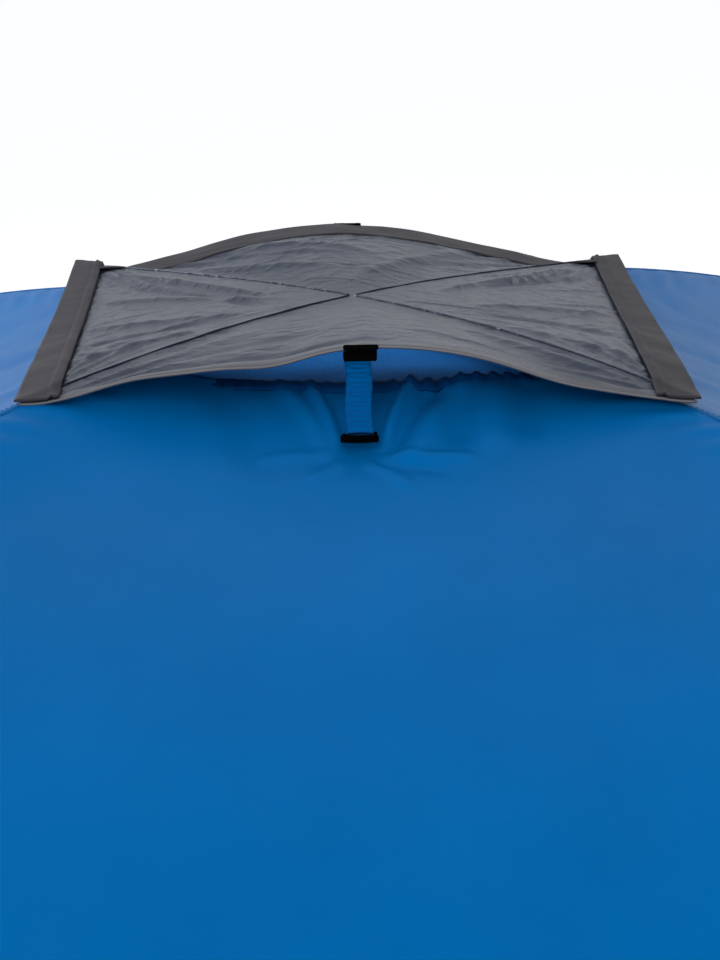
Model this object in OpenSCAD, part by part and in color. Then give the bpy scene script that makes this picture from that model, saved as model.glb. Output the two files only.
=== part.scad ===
// Two-pole dome tent: square tub floor, four fabric panels that meet on the diagonals under
// crossing pole sleeves, and a propped square hood over the roof vent.
// Millimetres, +Z up, origin on the ground under the crossing. The plain side faces -Y,
// the door is in the +Y panel.

/* [Tent] */
// Distance between neighbouring pole feet
base_side = 2200; // [2100:10:2300]
// Mean height of the two pole axes where they cross
crown_height = 1300; // [1270:5:1330]
// Bend radius of the poles over the roof
roof_radius = 1925; // [1890:5:1960]
// Thickness of the panel and hood fabric
fabric_t = 1.0; // [0.8:0.1:1.2]
// Thickness of the coated floor sheet
floor_t = 1.2; // [1:0.1:1.5]
// Height of the tub walls
tub_height = 130; // [110:5:150]

/* [Poles] */
// Outer radius of the fibreglass rods
rod_r = 4.25; // [4:0.05:4.4]
// Radius of the hole through the rods
rod_bore_r = 2.6; // [2.3:0.1:2.8]
// Number of rods in the roof part of each pole
roof_rods = 3; // [3:1:4]
// Number of rods in each side part of each pole
side_rods = 2; // [2:1:3]
// Outer radius of the steel ferrules
ferrule_r = 5.3; // [5:0.1:5.4]
// Length of a ferrule
ferrule_len = 70; // [50:5:90]
// Inner radius of the fabric pole sleeves
sleeve_r = 5.8; // [5.7:0.1:6]

/* [Vent and hood] */
// Half side of the roof vent
vent_half = 150; // [140:1:155]
// Half side of the hood
hood_half = 210; // [206:1:214]
// Height of the hood at its centre, top face
hood_top = 1313; // [1312:0.5:1315]
// Rise of the propped front hem above the hood's corners
front_rise = 33; // [30:1:36]
// Rise of the propped rear hem above the hood's corners
rear_rise = 36; // [30:1:38]
// Width of the dark bands on the hood's two sides
side_band_w = 28; // [24:1:34]
// Width of the dark band along the hood's back
rear_band_w = 40; // [34:1:46]
// Width of the front hem
hem_w = 12; // [10:1:14]

/* [Struts] */
// Width of a strut
strut_w = 17; // [15:1:20]
// Width of the hook-and-loop tabs
tab_w = 21; // [20:1:24]

/* [Door] */
// Width of the door
door_w = 760; // [700:10:800]
// Height of the straight sill
sill_z = 170; // [160:1:180]
// Height at which the round top of the door begins
spring_z = 560; // [540:5:580]

/* [Corners] */
// Distance from a pole foot out to its peg eyelet
peg_reach = 44; // [40:1:50]
// Hole radius of the peg eyelets
peg_r = 5; // [4.5:0.1:5.2]
// Width of the corner webbing
webbing_w = 26; // [24:1:30]

/* [Hidden] */

panel_blue = "steelblue";
band_gray = "dimgray";
hood_gray = "slategray";

// The four sides, as turns about Z from the front one, which faces -Y.
front = 0;
right = 90;
rear = 180;
left = 270;

// The lower pole runs from front right to rear left, the upper one from front left to rear right.
lower_turn = -45;
upper_turn = 45;
rod_gap = 0.5;
half_step = rod_r + rod_gap / 2;
lower_top = crown_height - half_step;
upper_top = crown_height + half_step;

// Each arch has one roof arc and two side arcs that end upright on the ground.
// Angles are measured from the vertical, lengths from the crown.
foot = base_side / sqrt(2);
function side_radius(top) =
    (foot * foot + pow(roof_radius - top, 2) - pow(roof_radius, 2)) / (2 * (foot - roof_radius));
function joint_angle(top) = atan2(foot - side_radius(top), roof_radius - top);
function roof_arc(top) = roof_radius * joint_angle(top) * PI / 180;
function side_arc(top) = side_radius(top) * (90 - joint_angle(top)) * PI / 180;

// A point of the mean arch in its own plane, from its angle.
function arch_point(a) =
    a <= joint_angle(crown_height)
    ? [roof_radius * sin(a), crown_height - roof_radius + roof_radius * cos(a)]
    : [foot - side_radius(crown_height) * (1 - sin(a)), side_radius(crown_height) * cos(a)];

// The panels' section: the mean arch squeezed to half the panel's width.
function panel_normal(a) = [sqrt(2) * sin(a), cos(a)] / norm([sqrt(2) * sin(a), cos(a)]);
function panel_point(a, depth) =
    [arch_point(a)[0] / sqrt(2), arch_point(a)[1]] - depth * panel_normal(a);
function angle_at_height(z) = acos(z / side_radius(crown_height));
function angle_at_half_width(y) = asin(y * sqrt(2) / roof_radius);

// The tub's walls hang inside the panels, and its corners are cut off inside the poles.
tub_gap = 0.3;
panel_foot_z = 115;
panel_steps = 28;
strip_steps = 4;
roof_steps = 5;
vent_angle = angle_at_half_width(vent_half);

sleeve_out = sleeve_r + fabric_t;
sleeve_start = 240;
sleeve_end_z = 115;
tape_w = 13;
tape_t = 1;
seam_gap = 0.1;
panel_back = (sleeve_out + seam_gap) * sqrt(2);
tub_corner = foot - sleeve_out - 4;

// Flat band between two depths of the panels' section, over a span of angles.
module section_band(a0, a1, steps, d0, d1) {
    angles = [for (i = [0:steps]) a0 + (a1 - a0) * i / steps];
    outer = [for (a = angles) panel_point(a, d0)];
    inner = [for (i = [steps:-1:0]) panel_point(angles[i], d1)];
    polygon([for (p = concat(outer, inner)) [-p[0], p[1]]]);
}

// That band drawn out along X and cut to the wedge between the two diagonals.
module panel_sheet(a0, a1, steps, d0, d1, back) {
    reach = base_side;
    intersection() {
        rotate([90, 0, 90])
            linear_extrude(height = reach, center = true)
                section_band(a0, a1, steps, d0, d1);
        linear_extrude(height = reach)
            polygon([[0, -back], [-reach + back, -reach], [reach - back, -reach]]);
    }
}

// Tube or strip along one arc, between two angles from the vertical; its section is the child.
module bend(radius, centre, a0, a1) {
    translate([centre[0], 0, centre[1]])
        rotate([90, 0, 0])
            rotate([0, 0, 90 - a1])
                rotate_extrude(angle = a1 - a0, $fn = 96)
                    translate([radius, 0])
                        children();
}
// The same along the roof arc, between two lengths from the crown.
module along_roof(top, s0, s1) {
    per_mm = 180 / (PI * roof_radius);
    bend(roof_radius, [0, top - roof_radius], s0 * per_mm, s1 * per_mm)
        children();
}
// And along both side arcs, between two lengths up from the foot.
module along_sides(top, s0, s1) {
    side = side_radius(top);
    per_mm = 180 / (PI * side);
    bend(side, [foot - side, 0], 90 - s1 * per_mm, 90 - s0 * per_mm)
        children();
}
module ring(outer, inner) {
    difference() {
        circle(r = outer, $fn = 32);
        circle(r = inner, $fn = 32);
    }
}

// ---- Floor and tub ----
module floor_sheet() {
    half = panel_point(90, fabric_t + tub_gap)[0] - seam_gap;
    color("dimgray")
        intersection() {
            translate([-half, -half, 0])
                cube([2 * half, 2 * half, floor_t]);
            rotate([0, 0, 45])
                translate([-tub_corner, -tub_corner, -floor_t])
                    cube([2 * tub_corner, 2 * tub_corner, 3 * floor_t]);
        }
}
module tub_wall(turn) {
    depth = fabric_t + tub_gap;
    a_low = angle_at_height(floor_t + seam_gap);
    color("dimgray")
        rotate([0, 0, turn])
            panel_sheet(angle_at_height(tub_height), a_low, strip_steps,
                        depth, depth + floor_t, panel_back);
}

// ---- Fabric panels ----
module panel(turn) {
    color(panel_blue)
        rotate([0, 0, turn])
            panel_sheet(vent_angle, angle_at_height(panel_foot_z), panel_steps,
                        0, fabric_t, panel_back);
}

// ---- Ridge tapes and sleeves ----
// Both are made in two lengths that butt where the pole's curve changes.
butt = 0.2;
module two_lengths(top, foot_s) {
    along_roof(top, sleeve_start, roof_arc(top) - butt)
        children();
    along_sides(top, foot_s, side_arc(top))
        children();
}
module ridge_tapes() {
    inset = sleeve_out + 0.4;
    tape_end = 3;
    color("midnightblue")
        for (arch = [[lower_turn, lower_top], [upper_turn, upper_top]], half_turn = [0, 180])
            rotate([0, 0, arch[0] + half_turn])
                two_lengths(arch[1], tape_end)
                    translate([-inset - tape_t, -tape_w / 2])
                        square([tape_t, tape_w]);
}
module sleeve(turn, top) {
    color("royalblue")
        rotate([0, 0, turn])
            two_lengths(top, sleeve_end_z)
                ring(sleeve_out, sleeve_r);
}

// ---- Roof vent ----
mesh_depth = 12;
lip_t = 4;
lip_gap = 0.2;
mesh_gap = 0.5;
module vent_mesh() {
    half = vent_half - lip_t - mesh_gap;
    color("darkslateblue")
        for (turn = [front, right, rear, left])
            rotate([0, 0, turn])
                panel_sheet(0, angle_at_half_width(half), roof_steps,
                            mesh_depth, mesh_depth + fabric_t, 0);
}
module vent_lip() {
    top_z = panel_point(vent_angle, 0)[1];
    length = 2 * (vent_half - panel_back - lip_t);
    color("navy")
        for (turn = [front, right, rear, left])
            rotate([0, 0, turn])
                translate([-length / 2, -vent_half + lip_gap, top_z - mesh_depth])
                    cube([length, lip_t - lip_gap, mesh_depth]);
}

// ---- Poles ----
rod_end_z = 12;
rod_butt = 0.2;
module rods(turn, top) {
    roof_len = 2 * roof_arc(top) / roof_rods;
    side_len = (side_arc(top) - rod_end_z) / side_rods;
    color("silver")
        rotate([0, 0, turn]) {
            for (i = [0:roof_rods - 1])
                along_roof(top, -roof_arc(top) + i * roof_len + rod_butt,
                           -roof_arc(top) + (i + 1) * roof_len - rod_butt)
                    ring(rod_r, rod_bore_r);
            for (half_turn = [0, 180], i = [0:side_rods - 1])
                rotate([0, 0, half_turn])
                    along_sides(top, rod_end_z + i * side_len + rod_butt,
                                rod_end_z + (i + 1) * side_len - rod_butt)
                        ring(rod_r, rod_bore_r);
        }
}
module ferrules(turn, top) {
    roof_len = 2 * roof_arc(top) / roof_rods;
    side_len = (side_arc(top) - rod_end_z) / side_rods;
    half_len = ferrule_len / 2;
    fit = 0.25;
    color("gainsboro")
        rotate([0, 0, turn]) {
            for (i = [0:roof_rods]) {
                centre = -roof_arc(top) + i * roof_len;
                along_roof(top, centre - half_len, centre + half_len)
                    ring(ferrule_r, rod_r + fit);
            }
            for (half_turn = [0, 180], i = [1:side_rods - 1])
                rotate([0, 0, half_turn])
                    along_sides(top, rod_end_z + i * side_len - half_len,
                                rod_end_z + i * side_len + half_len)
                        ring(ferrule_r, rod_r + fit);
        }
}
module tips(turn) {
    pin_r = 2.4;
    pin_z = 0.4;
    shoulder_z = 6;
    plug_r = 2.1;
    plug_len = 20;
    color("silver")
        rotate([0, 0, turn])
            for (sgn = [-1, 1])
                translate([sgn * foot, 0, 0]) {
                    translate([0, 0, pin_z])
                        cylinder(r = pin_r, h = shoulder_z, $fn = 32);
                    translate([0, 0, shoulder_z])
                        cylinder(r = rod_r, h = rod_end_z - rod_butt - shoulder_z, $fn = 32);
                    translate([0, 0, rod_end_z - 1])
                        cylinder(r = plug_r, h = plug_len, $fn = 32);
                }
}
// Elastic cord through the rods, with a small bead where the pole's curve changes.
module shock_cord(turn, top) {
    cord_r = 1.2;
    bead_r = 2;
    bead_turn = joint_angle(top);
    cord_start = rod_end_z + 24;
    color("black")
        rotate([0, 0, turn])
            for (half_turn = [0, 180])
                rotate([0, 0, half_turn]) {
                    along_roof(top, 0.1, roof_arc(top) - butt)
                        circle(r = cord_r, $fn = 24);
                    along_sides(top, cord_start, side_arc(top) - butt)
                        circle(r = cord_r, $fn = 24);
                    translate([roof_radius * sin(bead_turn), 0,
                               top - roof_radius + roof_radius * cos(bead_turn)])
                        sphere(r = bead_r, $fn = 32);
                }
}

// Webbing band that holds the two poles together where they cross.
module crossing_tie() {
    tie_t = 0.8;
    clear = 0.9;
    tie_y = 12;
    in_x = tie_y / 2 + rod_r * sqrt(2) + clear;
    in_low = lower_top - rod_r - clear;
    in_high = upper_top + rod_r + clear;
    color("black")
        rotate([90, 0, 0])
            linear_extrude(height = tie_y, center = true)
                difference() {
                    translate([-in_x - tie_t, in_low - tie_t])
                        square([2 * (in_x + tie_t), in_high - in_low + 2 * tie_t]);
                    translate([-in_x, in_low])
                        square([2 * in_x, in_high - in_low]);
                }
}

// ---- Lantern loop inside the roof ----
loop_r = 5.5;
loop_t = 1.2;
loop_drop = 12;
loop_z = crown_height - mesh_depth - fabric_t - loop_drop;
module lantern_loop() {
    loop_y = 10;
    color("black")
        translate([0, 0, loop_z])
            rotate([90, 0, 0])
                linear_extrude(height = loop_y, center = true)
                    difference() {
                        union() {
                            circle(r = loop_r + loop_t, $fn = 48);
                            translate([-1, 0])
                                square([2, loop_drop - 0.4]);
                        }
                        circle(r = loop_r, $fn = 48);
                    }
}
ring_r = 14;
ring_wire_r = 1.8;
ring_pivot_z = loop_z - loop_r + ring_wire_r + 1.7;
module lantern_ring() {
    color("black")
        translate([0, 0, ring_pivot_z - ring_r])
            rotate([0, 90, 0])
                rotate_extrude($fn = 64)
                    translate([ring_r, 0])
                        circle(r = ring_wire_r, $fn = 24);
}

// ---- Corners ----
web_t = 1.6;
flange_t = 0.8;
barrel_t = 0.7;
pole_eyelet_r = 3.2;
module corners() {
    for (turn = [45:90:315])
        rotate([0, 0, turn])
            children();
}
module corner_webbing() {
    inner = tub_corner + tub_gap;
    outer = foot + peg_reach + webbing_w / 2;
    color("black")
        corners()
            difference() {
                union() {
                    translate([inner, -webbing_w / 2, 0])
                        cube([foot + peg_reach - inner, webbing_w, web_t]);
                    translate([outer - webbing_w / 2, 0, 0])
                        cylinder(d = webbing_w, h = web_t, $fn = 64);
                }
                translate([foot, 0, -1])
                    cylinder(r = pole_eyelet_r + barrel_t + 0.1, h = 2 * web_t, $fn = 48);
                translate([foot + peg_reach, 0, -1])
                    cylinder(r = peg_r + barrel_t + 0.1, h = 2 * web_t, $fn = 48);
            }
}
module eyelet(distance, hole_r) {
    corners()
        translate([distance, 0, 0])
            difference() {
                union() {
                    cylinder(r = hole_r + barrel_t, h = web_t + 0.2, $fn = 48);
                    translate([0, 0, web_t + 0.1])
                        cylinder(r = hole_r + barrel_t + 2.2, h = flange_t, $fn = 48);
                }
                translate([0, 0, -1])
                    cylinder(r = hole_r, h = 6, $fn = 48);
            }
}
module pole_eyelets() {
    color("silver")
        eyelet(foot, pole_eyelet_r);
}
module peg_eyelets() {
    color("silver")
        eyelet(foot + peg_reach, peg_r);
}

// ---- Hood ----
// Height of the hood's top face: it follows the poles along the creases,
// and the front and rear gores bow up towards their propped hems.
hood_fall = hood_half * hood_half / roof_radius;
function hood_z(x, y, rise) =
    let (s = max(abs(x), abs(y)) / hood_half)
    let (r = abs(y) > abs(x) ? abs(x) / abs(y) : 1)
    hood_top - hood_fall * s * s + rise * pow(s, 1.2) * pow(1 - r * r, 2);
function rise_at(y) = y < 0 ? front_rise : rear_rise;
function hood_point(x, y) = [x, y, hood_z(x, y, rise_at(y))];

// Closed sheet of thickness t under a grid of points: rows of equal length.
module sheet(rows, t) {
    nr = len(rows);
    nc = len(rows[0]);
    top = [for (row = rows, p = row) p];
    all_points = concat(top, [for (p = top) p - [0, 0, t]]);
    n = nr * nc;
    faces_top = [for (i = [0:nr - 2], j = [0:nc - 2], k = [0, 1])
        k == 0 ? [i * nc + j, i * nc + j + 1, (i + 1) * nc + j + 1]
               : [i * nc + j, (i + 1) * nc + j + 1, (i + 1) * nc + j]];
    faces_low = [for (f = faces_top) [f[2] + n, f[1] + n, f[0] + n]];
    rim = concat([for (j = [0:nc - 1]) j],
                 [for (i = [1:nr - 1]) i * nc + nc - 1],
                 [for (j = [nc - 2:-1:0]) (nr - 1) * nc + j],
                 [for (i = [nr - 2:-1:1]) i * nc]);
    m = len(rim);
    faces_rim = [for (k = [0:m - 1]) each [
        [rim[k], rim[k] + n, rim[(k + 1) % m] + n],
        [rim[k], rim[(k + 1) % m] + n, rim[(k + 1) % m]]]];
    polyhedron(all_points, concat(faces_top, faces_low, faces_rim));
}

hub_half = 34;
flap_slope = 0.5;
flap_gap = 1.5;
edge_gap = 0.3;
// Columns of a fixed gore on each side of its middle, and those within the crease
gore_cols = 8;
crease_cols = 5;
gore_pitch = 13;
band_out = hood_half + 2;
function gore_reach(x) = min(hood_half, max(hub_half, x / flap_slope - 2 * flap_gap));
// Places across a fixed gore at distance x from the crossing. Away from the hub
// one column lies on each crease, so that the sheet keeps its ridge there.
function gore_column(x, reach, j) =
    let (crease = min(x, reach))
    x < hub_half ? reach * j / gore_cols
        : abs(j) <= crease_cols ? crease * j / crease_cols
        : sign(j) * (crease + (reach - crease) * (abs(j) - crease_cols)
                     / (gore_cols - crease_cols));
function gore_row(sgn, x, reach) = [for (j = [-gore_cols:gore_cols])
    hood_point(sgn * x, -sgn * gore_column(x, reach, j))];
module hood_gore(sgn) {
    edge = hood_half - side_band_w;
    // Where the hub's edge leaves the middle and where it clears the flap's corner.
    leave = hub_half / 2 + flap_gap;
    near = [0, leave / 2, leave, (leave + hub_half) / 2];
    stations = concat(near, [for (x = [hub_half:gore_pitch:edge - gore_pitch / 2]) x], [edge]);
    color(hood_gray)
        sheet([for (x = stations) gore_row(sgn, x, gore_reach(x))], fabric_t);
}
module hood_band(sgn) {
    inner = hood_half - side_band_w + edge_gap;
    width = band_out - inner;
    corner_lap = 2.5;
    color(band_gray)
        sheet([for (i = [0:4]) let (x = inner + width * i / 4)
                   gore_row(sgn, x, max(hood_half, x) + corner_lap)], fabric_t * 1.5);
}
// Strip of a propped gore between two distances from the crossing.
module flap_strip(sgn, from, to, steps, t) {
    rows = [for (i = [0:steps])
        let (y = from + (to - from) * i / steps)
        [for (j = [-gore_cols:gore_cols])
            hood_point(sgn * (flap_slope * y - flap_gap) * j / gore_cols, sgn * y)]];
    sheet(rows, t);
}
flap_start = hub_half + 3;
module hood_flap_front() {
    color(hood_gray)
        flap_strip(-1, flap_start, hood_half - hem_w, 10, fabric_t);
}
module hood_hem_front() {
    color("lightsteelblue")
        flap_strip(-1, hood_half - hem_w + edge_gap, hood_half, 2, fabric_t * 1.5);
}
module hood_flap_rear() {
    color(hood_gray)
        flap_strip(1, flap_start, hood_half - rear_band_w, 10, fabric_t);
}
module hood_band_rear() {
    color(band_gray)
        flap_strip(1, hood_half - rear_band_w + edge_gap, band_out, 3, fabric_t * 1.5);
}

// ---- Struts ----
// A strut stands from its base on the panel to a fold under the propped hem.
// Drawn for the front and turned half round for the rear.
strut_base_y = 236;
strut_fold_y = 200;
strut_t = 4;
strut_wall = 0.8;
patch_t = 1.2;
patch_run = 14;
hook_t = 1;
function panel_height(y) = panel_point(angle_at_half_width(y), 0)[1];
fold_drop = 4.5;
foot_clear = 5;
head_clear = 3;
tab_lift = 0.3;
function fold_z(rise) = hood_z(0, strut_fold_y, rise) - fabric_t * 1.5 - fold_drop;
function foot_slope() =
    atan2(panel_height(strut_base_y - 10) - panel_height(strut_base_y + 10), 20);
module on_panel(lift) {
    translate([0, -strut_base_y, panel_height(strut_base_y)])
        rotate([foot_slope(), 0, 0])
            translate([0, 0, lift])
                children();
}
module along_strut(rise) {
    base_z = panel_height(strut_base_y) + foot_clear;
    run = strut_base_y - strut_fold_y;
    lean = atan2(run, fold_z(rise) - base_z);
    length = norm([run, fold_z(rise) - base_z]);
    translate([0, -strut_fold_y, fold_z(rise)])
        rotate([-lean, 0, 0])
            translate([0, 0, -length])
                linear_extrude(height = length - head_clear)
                    children();
}
module loop_patch(turn) {
    color("black")
        rotate([0, 0, turn])
            on_panel(tab_lift)
                translate([-tab_w / 2 - 1, -patch_run / 2, 0])
                    cube([tab_w + 2, patch_run, patch_t]);
}
module strut_hook_tab(turn) {
    hook_run = 9;
    color("black")
        rotate([0, 0, turn])
            on_panel(2 * tab_lift + patch_t)
                translate([-tab_w / 2, 1 - patch_run / 2, 0])
                    cube([tab_w, hook_run, hook_t]);
}
module strut_sleeve(turn, rise) {
    color("mediumblue")
        rotate([0, 0, turn])
            along_strut(rise)
                difference() {
                    square([strut_w, strut_t], center = true);
                    square([strut_w - 2, strut_t - 2 * strut_wall], center = true);
                }
}
module strut_stiffener(turn, rise) {
    color("white")
        rotate([0, 0, turn])
            along_strut(rise)
                square([strut_w - 4, 1.4], center = true);
}
module hem_tab(turn, rise, edge) {
    tab_h = 3.2;
    tab_t = 1.2;
    tab_gap = 0.3;
    color("black")
        rotate([0, 0, turn])
            translate([-tab_w / 2, -edge - tab_gap - tab_t, hood_z(0, hood_half, rise) - 0.5])
                cube([tab_w, tab_t, tab_h]);
}

// ---- Door ----
module door_outline(grow) {
    translate([-door_w / 2 - grow, sill_z - grow])
        square([door_w + 2 * grow, spring_z - sill_z + grow]);
    translate([0, spring_z])
        circle(r = door_w / 2 + grow, $fn = 96);
}
module through_rear() {
    rotate([90, 0, 180])
        linear_extrude(height = base_side)
            children();
}
door_gap = 1;
zip_w = 12;
coil_w = 1.2;
coil_t = 2;
coil_gap = 0.3;
tape_lift = 0.3;
module door_part(grow_out, grow_in, d0, d1) {
    a_low = angle_at_height(sill_z - 2 * zip_w);
    intersection() {
        rotate([0, 0, rear])
            panel_sheet(angle_at_height(spring_z + door_w / 2 + 2 * zip_w), a_low,
                        panel_steps, d0, d1, panel_back);
        through_rear()
            difference() {
                door_outline(grow_out);
                door_outline(grow_in);
            }
    }
}
module panel_rear() {
    color(panel_blue)
        difference() {
            panel(rear);
            through_rear()
                door_outline(door_gap);
        }
}
module door_panel() {
    color(panel_blue)
        intersection() {
            panel(rear);
            through_rear()
                door_outline(-door_gap);
        }
}
// Half of the zip: a band on the outer face that leaves out the sill.
module zip_band(grow_out, grow_in, d0, d1) {
    intersection() {
        door_part(grow_out, grow_in, d0, d1);
        translate([-base_side / 2, 0, sill_z + zip_w / 2])
            cube([base_side, base_side, base_side]);
    }
}
zip_tape_t = 0.8;
tape_start = door_gap + 2 * coil_w;
module zip_tape_body() {
    color("black")
        zip_band(zip_w, tape_start, -tape_lift - zip_tape_t, -tape_lift);
}
module zip_tape_door() {
    color("black")
        zip_band(-tape_start, -zip_w, -tape_lift - zip_tape_t, -tape_lift);
}
module zip_coil_body() {
    color("black")
        zip_band(tape_start - 0.2, coil_gap, -tape_lift - coil_t, -tape_lift);
}
module zip_coil_door() {
    color("black")
        zip_band(-coil_gap, 0.2 - tape_start, -tape_lift - coil_t, -tape_lift);
}

// The slider rides up the straight side of the zip on an arc about an axis along X.
slider_low_z = 210;
slider_mid_z = 370;
slider_high_z = 530;
function zip_point(z) = panel_point(angle_at_height(z), -tape_lift - coil_t);
function circle_centre(p, q, r) =
    let (d = 2 * (p[0] * (q[1] - r[1]) + q[0] * (r[1] - p[1]) + r[0] * (p[1] - q[1])))
    let (pp = p * p, qq = q * q, rr = r * r)
    [(pp * (q[1] - r[1]) + qq * (r[1] - p[1]) + rr * (p[1] - q[1])) / d,
     (pp * (r[0] - q[0]) + qq * (p[0] - r[0]) + rr * (q[0] - p[0])) / d];
track_centre = circle_centre(zip_point(slider_low_z), zip_point(slider_mid_z),
                             zip_point(slider_high_z));
track_radius = norm(zip_point(slider_low_z) - track_centre);
slider_turn = atan2(zip_point(slider_low_z)[1] - track_centre[1],
                    zip_point(slider_low_z)[0] - track_centre[0]);
track_sweep = atan2(zip_point(slider_high_z)[1] - track_centre[1],
                    zip_point(slider_high_z)[0] - track_centre[0]) - slider_turn;
bar_r = 1;
bar_lift = 4.4;
bar_out = bar_lift + 0.6;
// Frame on the zip at the slider: X along the tent's X, Y outwards, Z up the track.
module at_slider() {
    translate([door_w / 2, track_centre[0], track_centre[1]])
        rotate([slider_turn, 0, 0])
            translate([0, track_radius, 0])
                children();
}
module zip_slider() {
    body_w = 10;
    body_h = 14;
    color("silver")
        at_slider() {
            translate([-body_w / 2, 0.5, -body_h / 2])
                cube([body_w, 1.6, body_h]);
            for (x = [-4, 2.6])
                translate([x, 2, -1.6])
                    cube([1.4, bar_lift, 3.2]);
            translate([-4, bar_out, 0])
                rotate([0, 90, 0])
                    cylinder(r = bar_r, h = 8, $fn = 32);
        }
}
module zip_puller() {
    pull_len = 34;
    pull_t = 1.6;
    pull_w = 4.4;
    color("silver")
        at_slider()
            translate([0, bar_out, 0])
                difference() {
                    union() {
                        translate([-pull_w / 2, 0, 0])
                            rotate([0, 90, 0])
                                cylinder(r = 2.1, h = pull_w, $fn = 32);
                        translate([-pull_w / 2, -pull_t / 2, -pull_len])
                            cube([pull_w, pull_t, pull_len]);
                        translate([0, pull_t / 2, -pull_len])
                            rotate([90, 0, 0])
                                cylinder(r = 4, h = pull_t, $fn = 32);
                    }
                    translate([-5, 0, 0])
                        rotate([0, 90, 0])
                            cylinder(r = bar_r + 0.07, h = 10, $fn = 32);
                }
}

floor_sheet();
tub_wall(front);  // tub_wall_front
tub_wall(right);  // tub_wall_right
tub_wall(rear);  // tub_wall_rear
tub_wall(left);  // tub_wall_left
panel(front);  // panel_front
panel(right);  // panel_right
panel_rear();
panel(left);  // panel_left
ridge_tapes();
sleeve(lower_turn, lower_top);  // sleeve_front_right
sleeve(lower_turn + 180, lower_top);  // sleeve_rear_left
sleeve(upper_turn + 180, upper_top);  // sleeve_front_left
sleeve(upper_turn, upper_top);  // sleeve_rear_right
vent_lip();
vent_mesh();
crossing_tie();
lantern_loop();
lantern_ring();
rods(lower_turn, lower_top);  // lower_pole_rods
ferrules(lower_turn, lower_top);  // lower_pole_ferrules
tips(lower_turn);  // lower_pole_tips
shock_cord(lower_turn, lower_top);  // lower_shock_cord
rods(upper_turn, upper_top);  // upper_pole_rods
ferrules(upper_turn, upper_top);  // upper_pole_ferrules
tips(upper_turn);  // upper_pole_tips
shock_cord(upper_turn, upper_top);  // upper_shock_cord
corner_webbing();
pole_eyelets();
peg_eyelets();
hood_gore(-1);  // hood_gore_left
hood_gore(1);  // hood_gore_right
hood_band(-1);  // hood_band_left
hood_band(1);  // hood_band_right
hood_flap_front();
hood_hem_front();
hem_tab(front, front_rise, hood_half);  // hem_tab_front
strut_sleeve(front, front_rise);  // strut_sleeve_front
strut_stiffener(front, front_rise);  // strut_stiffener_front
strut_hook_tab(front);  // strut_hook_tab_front
loop_patch(front);  // loop_patch_front
hood_flap_rear();
hood_band_rear();
hem_tab(rear, rear_rise, band_out);  // hem_tab_rear
strut_sleeve(rear, rear_rise);  // strut_sleeve_rear
strut_stiffener(rear, rear_rise);  // strut_stiffener_rear
strut_hook_tab(rear);  // strut_hook_tab_rear
loop_patch(rear);  // loop_patch_rear
door_panel();
zip_tape_body();
zip_tape_door();
zip_coil_body();
zip_coil_door();
zip_slider();
zip_puller();
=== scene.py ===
# Looks of the dome tent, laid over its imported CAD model: fabric, seams, zip and webbing.
# Metres, in the CAD model's frame. The plain side faces -Y and the door side +Y.
import math

import bmesh
import bpy
import numpy as np
from mathutils import Matrix, Vector, noise


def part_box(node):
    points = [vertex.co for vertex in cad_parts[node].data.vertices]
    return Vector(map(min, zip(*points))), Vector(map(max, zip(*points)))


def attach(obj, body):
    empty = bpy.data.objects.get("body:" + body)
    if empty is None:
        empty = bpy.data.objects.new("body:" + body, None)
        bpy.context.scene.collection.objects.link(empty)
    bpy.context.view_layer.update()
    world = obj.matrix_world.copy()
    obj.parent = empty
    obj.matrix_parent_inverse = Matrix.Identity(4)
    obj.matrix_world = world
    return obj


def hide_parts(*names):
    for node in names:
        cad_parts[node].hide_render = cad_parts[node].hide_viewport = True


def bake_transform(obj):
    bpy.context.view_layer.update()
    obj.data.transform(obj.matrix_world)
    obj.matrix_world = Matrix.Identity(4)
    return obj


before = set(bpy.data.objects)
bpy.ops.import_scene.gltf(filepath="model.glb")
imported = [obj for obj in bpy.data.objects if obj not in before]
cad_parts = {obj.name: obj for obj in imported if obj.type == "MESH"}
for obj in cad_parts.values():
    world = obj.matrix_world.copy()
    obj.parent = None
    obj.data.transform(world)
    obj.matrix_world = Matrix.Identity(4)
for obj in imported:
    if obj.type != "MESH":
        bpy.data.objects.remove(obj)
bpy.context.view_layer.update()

# ---- Driving dimensions, as in the CAD source ----
BASE_SIDE = 2.2
CROWN = 1.3
ROOF_RADIUS = 1.925
SLEEVE_R = 0.0068
PANEL_FOOT_Z = 0.115
TUB_TOP_Z = 0.13
VENT_HALF = -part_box("panel_front")[1].y
HOOD_HALF = -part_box("hood_hem_front")[0].y
HOOD_TOP = 1.313
FRONT_RISE = 0.033
REAR_RISE = 0.036
SIDE_BAND = 0.028
REAR_BAND = 0.040
DOOR_HALF = 0.38
SILL_Z = 0.17
SPRING_Z = 0.56
STRUT_W = 0.0165
TAB_W = 0.0215
PANEL_T = 0.0008
HOOD_T = 0.0006
SIDE_BAND_T = 0.0014
REAR_BAND_T = 0.0012
BINDING_T = 0.0006

FOOT = BASE_SIDE / math.sqrt(2)
SIDE_RADIUS = (FOOT**2 + (ROOF_RADIUS - CROWN) ** 2 - ROOF_RADIUS**2) / (2 * (FOOT - ROOF_RADIUS))
JOINT_ANGLE = math.atan2(FOOT - SIDE_RADIUS, ROOF_RADIUS - CROWN)
PANEL_BACK = (SLEEVE_R + 0.0001) * math.sqrt(2)
TURNS = {"front": 0, "right": 90, "rear": 180, "left": 270}
POLE_LIFT = 0.0045


# ---- Small helpers ----
def smooth(x):
    x = min(1.0, max(0.0, x))
    return x * x * (3 - 2 * x)


def bell(x, width):
    return math.exp(-((x / width) ** 2))


def mix(a, b, t):
    return a + (b - a) * t


def grain(x, y, size, seed=0.0):
    """Smooth noise from -1 to 1 with features of about the given size."""
    return noise.noise(Vector((x / size, y / size, seed)))


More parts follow.
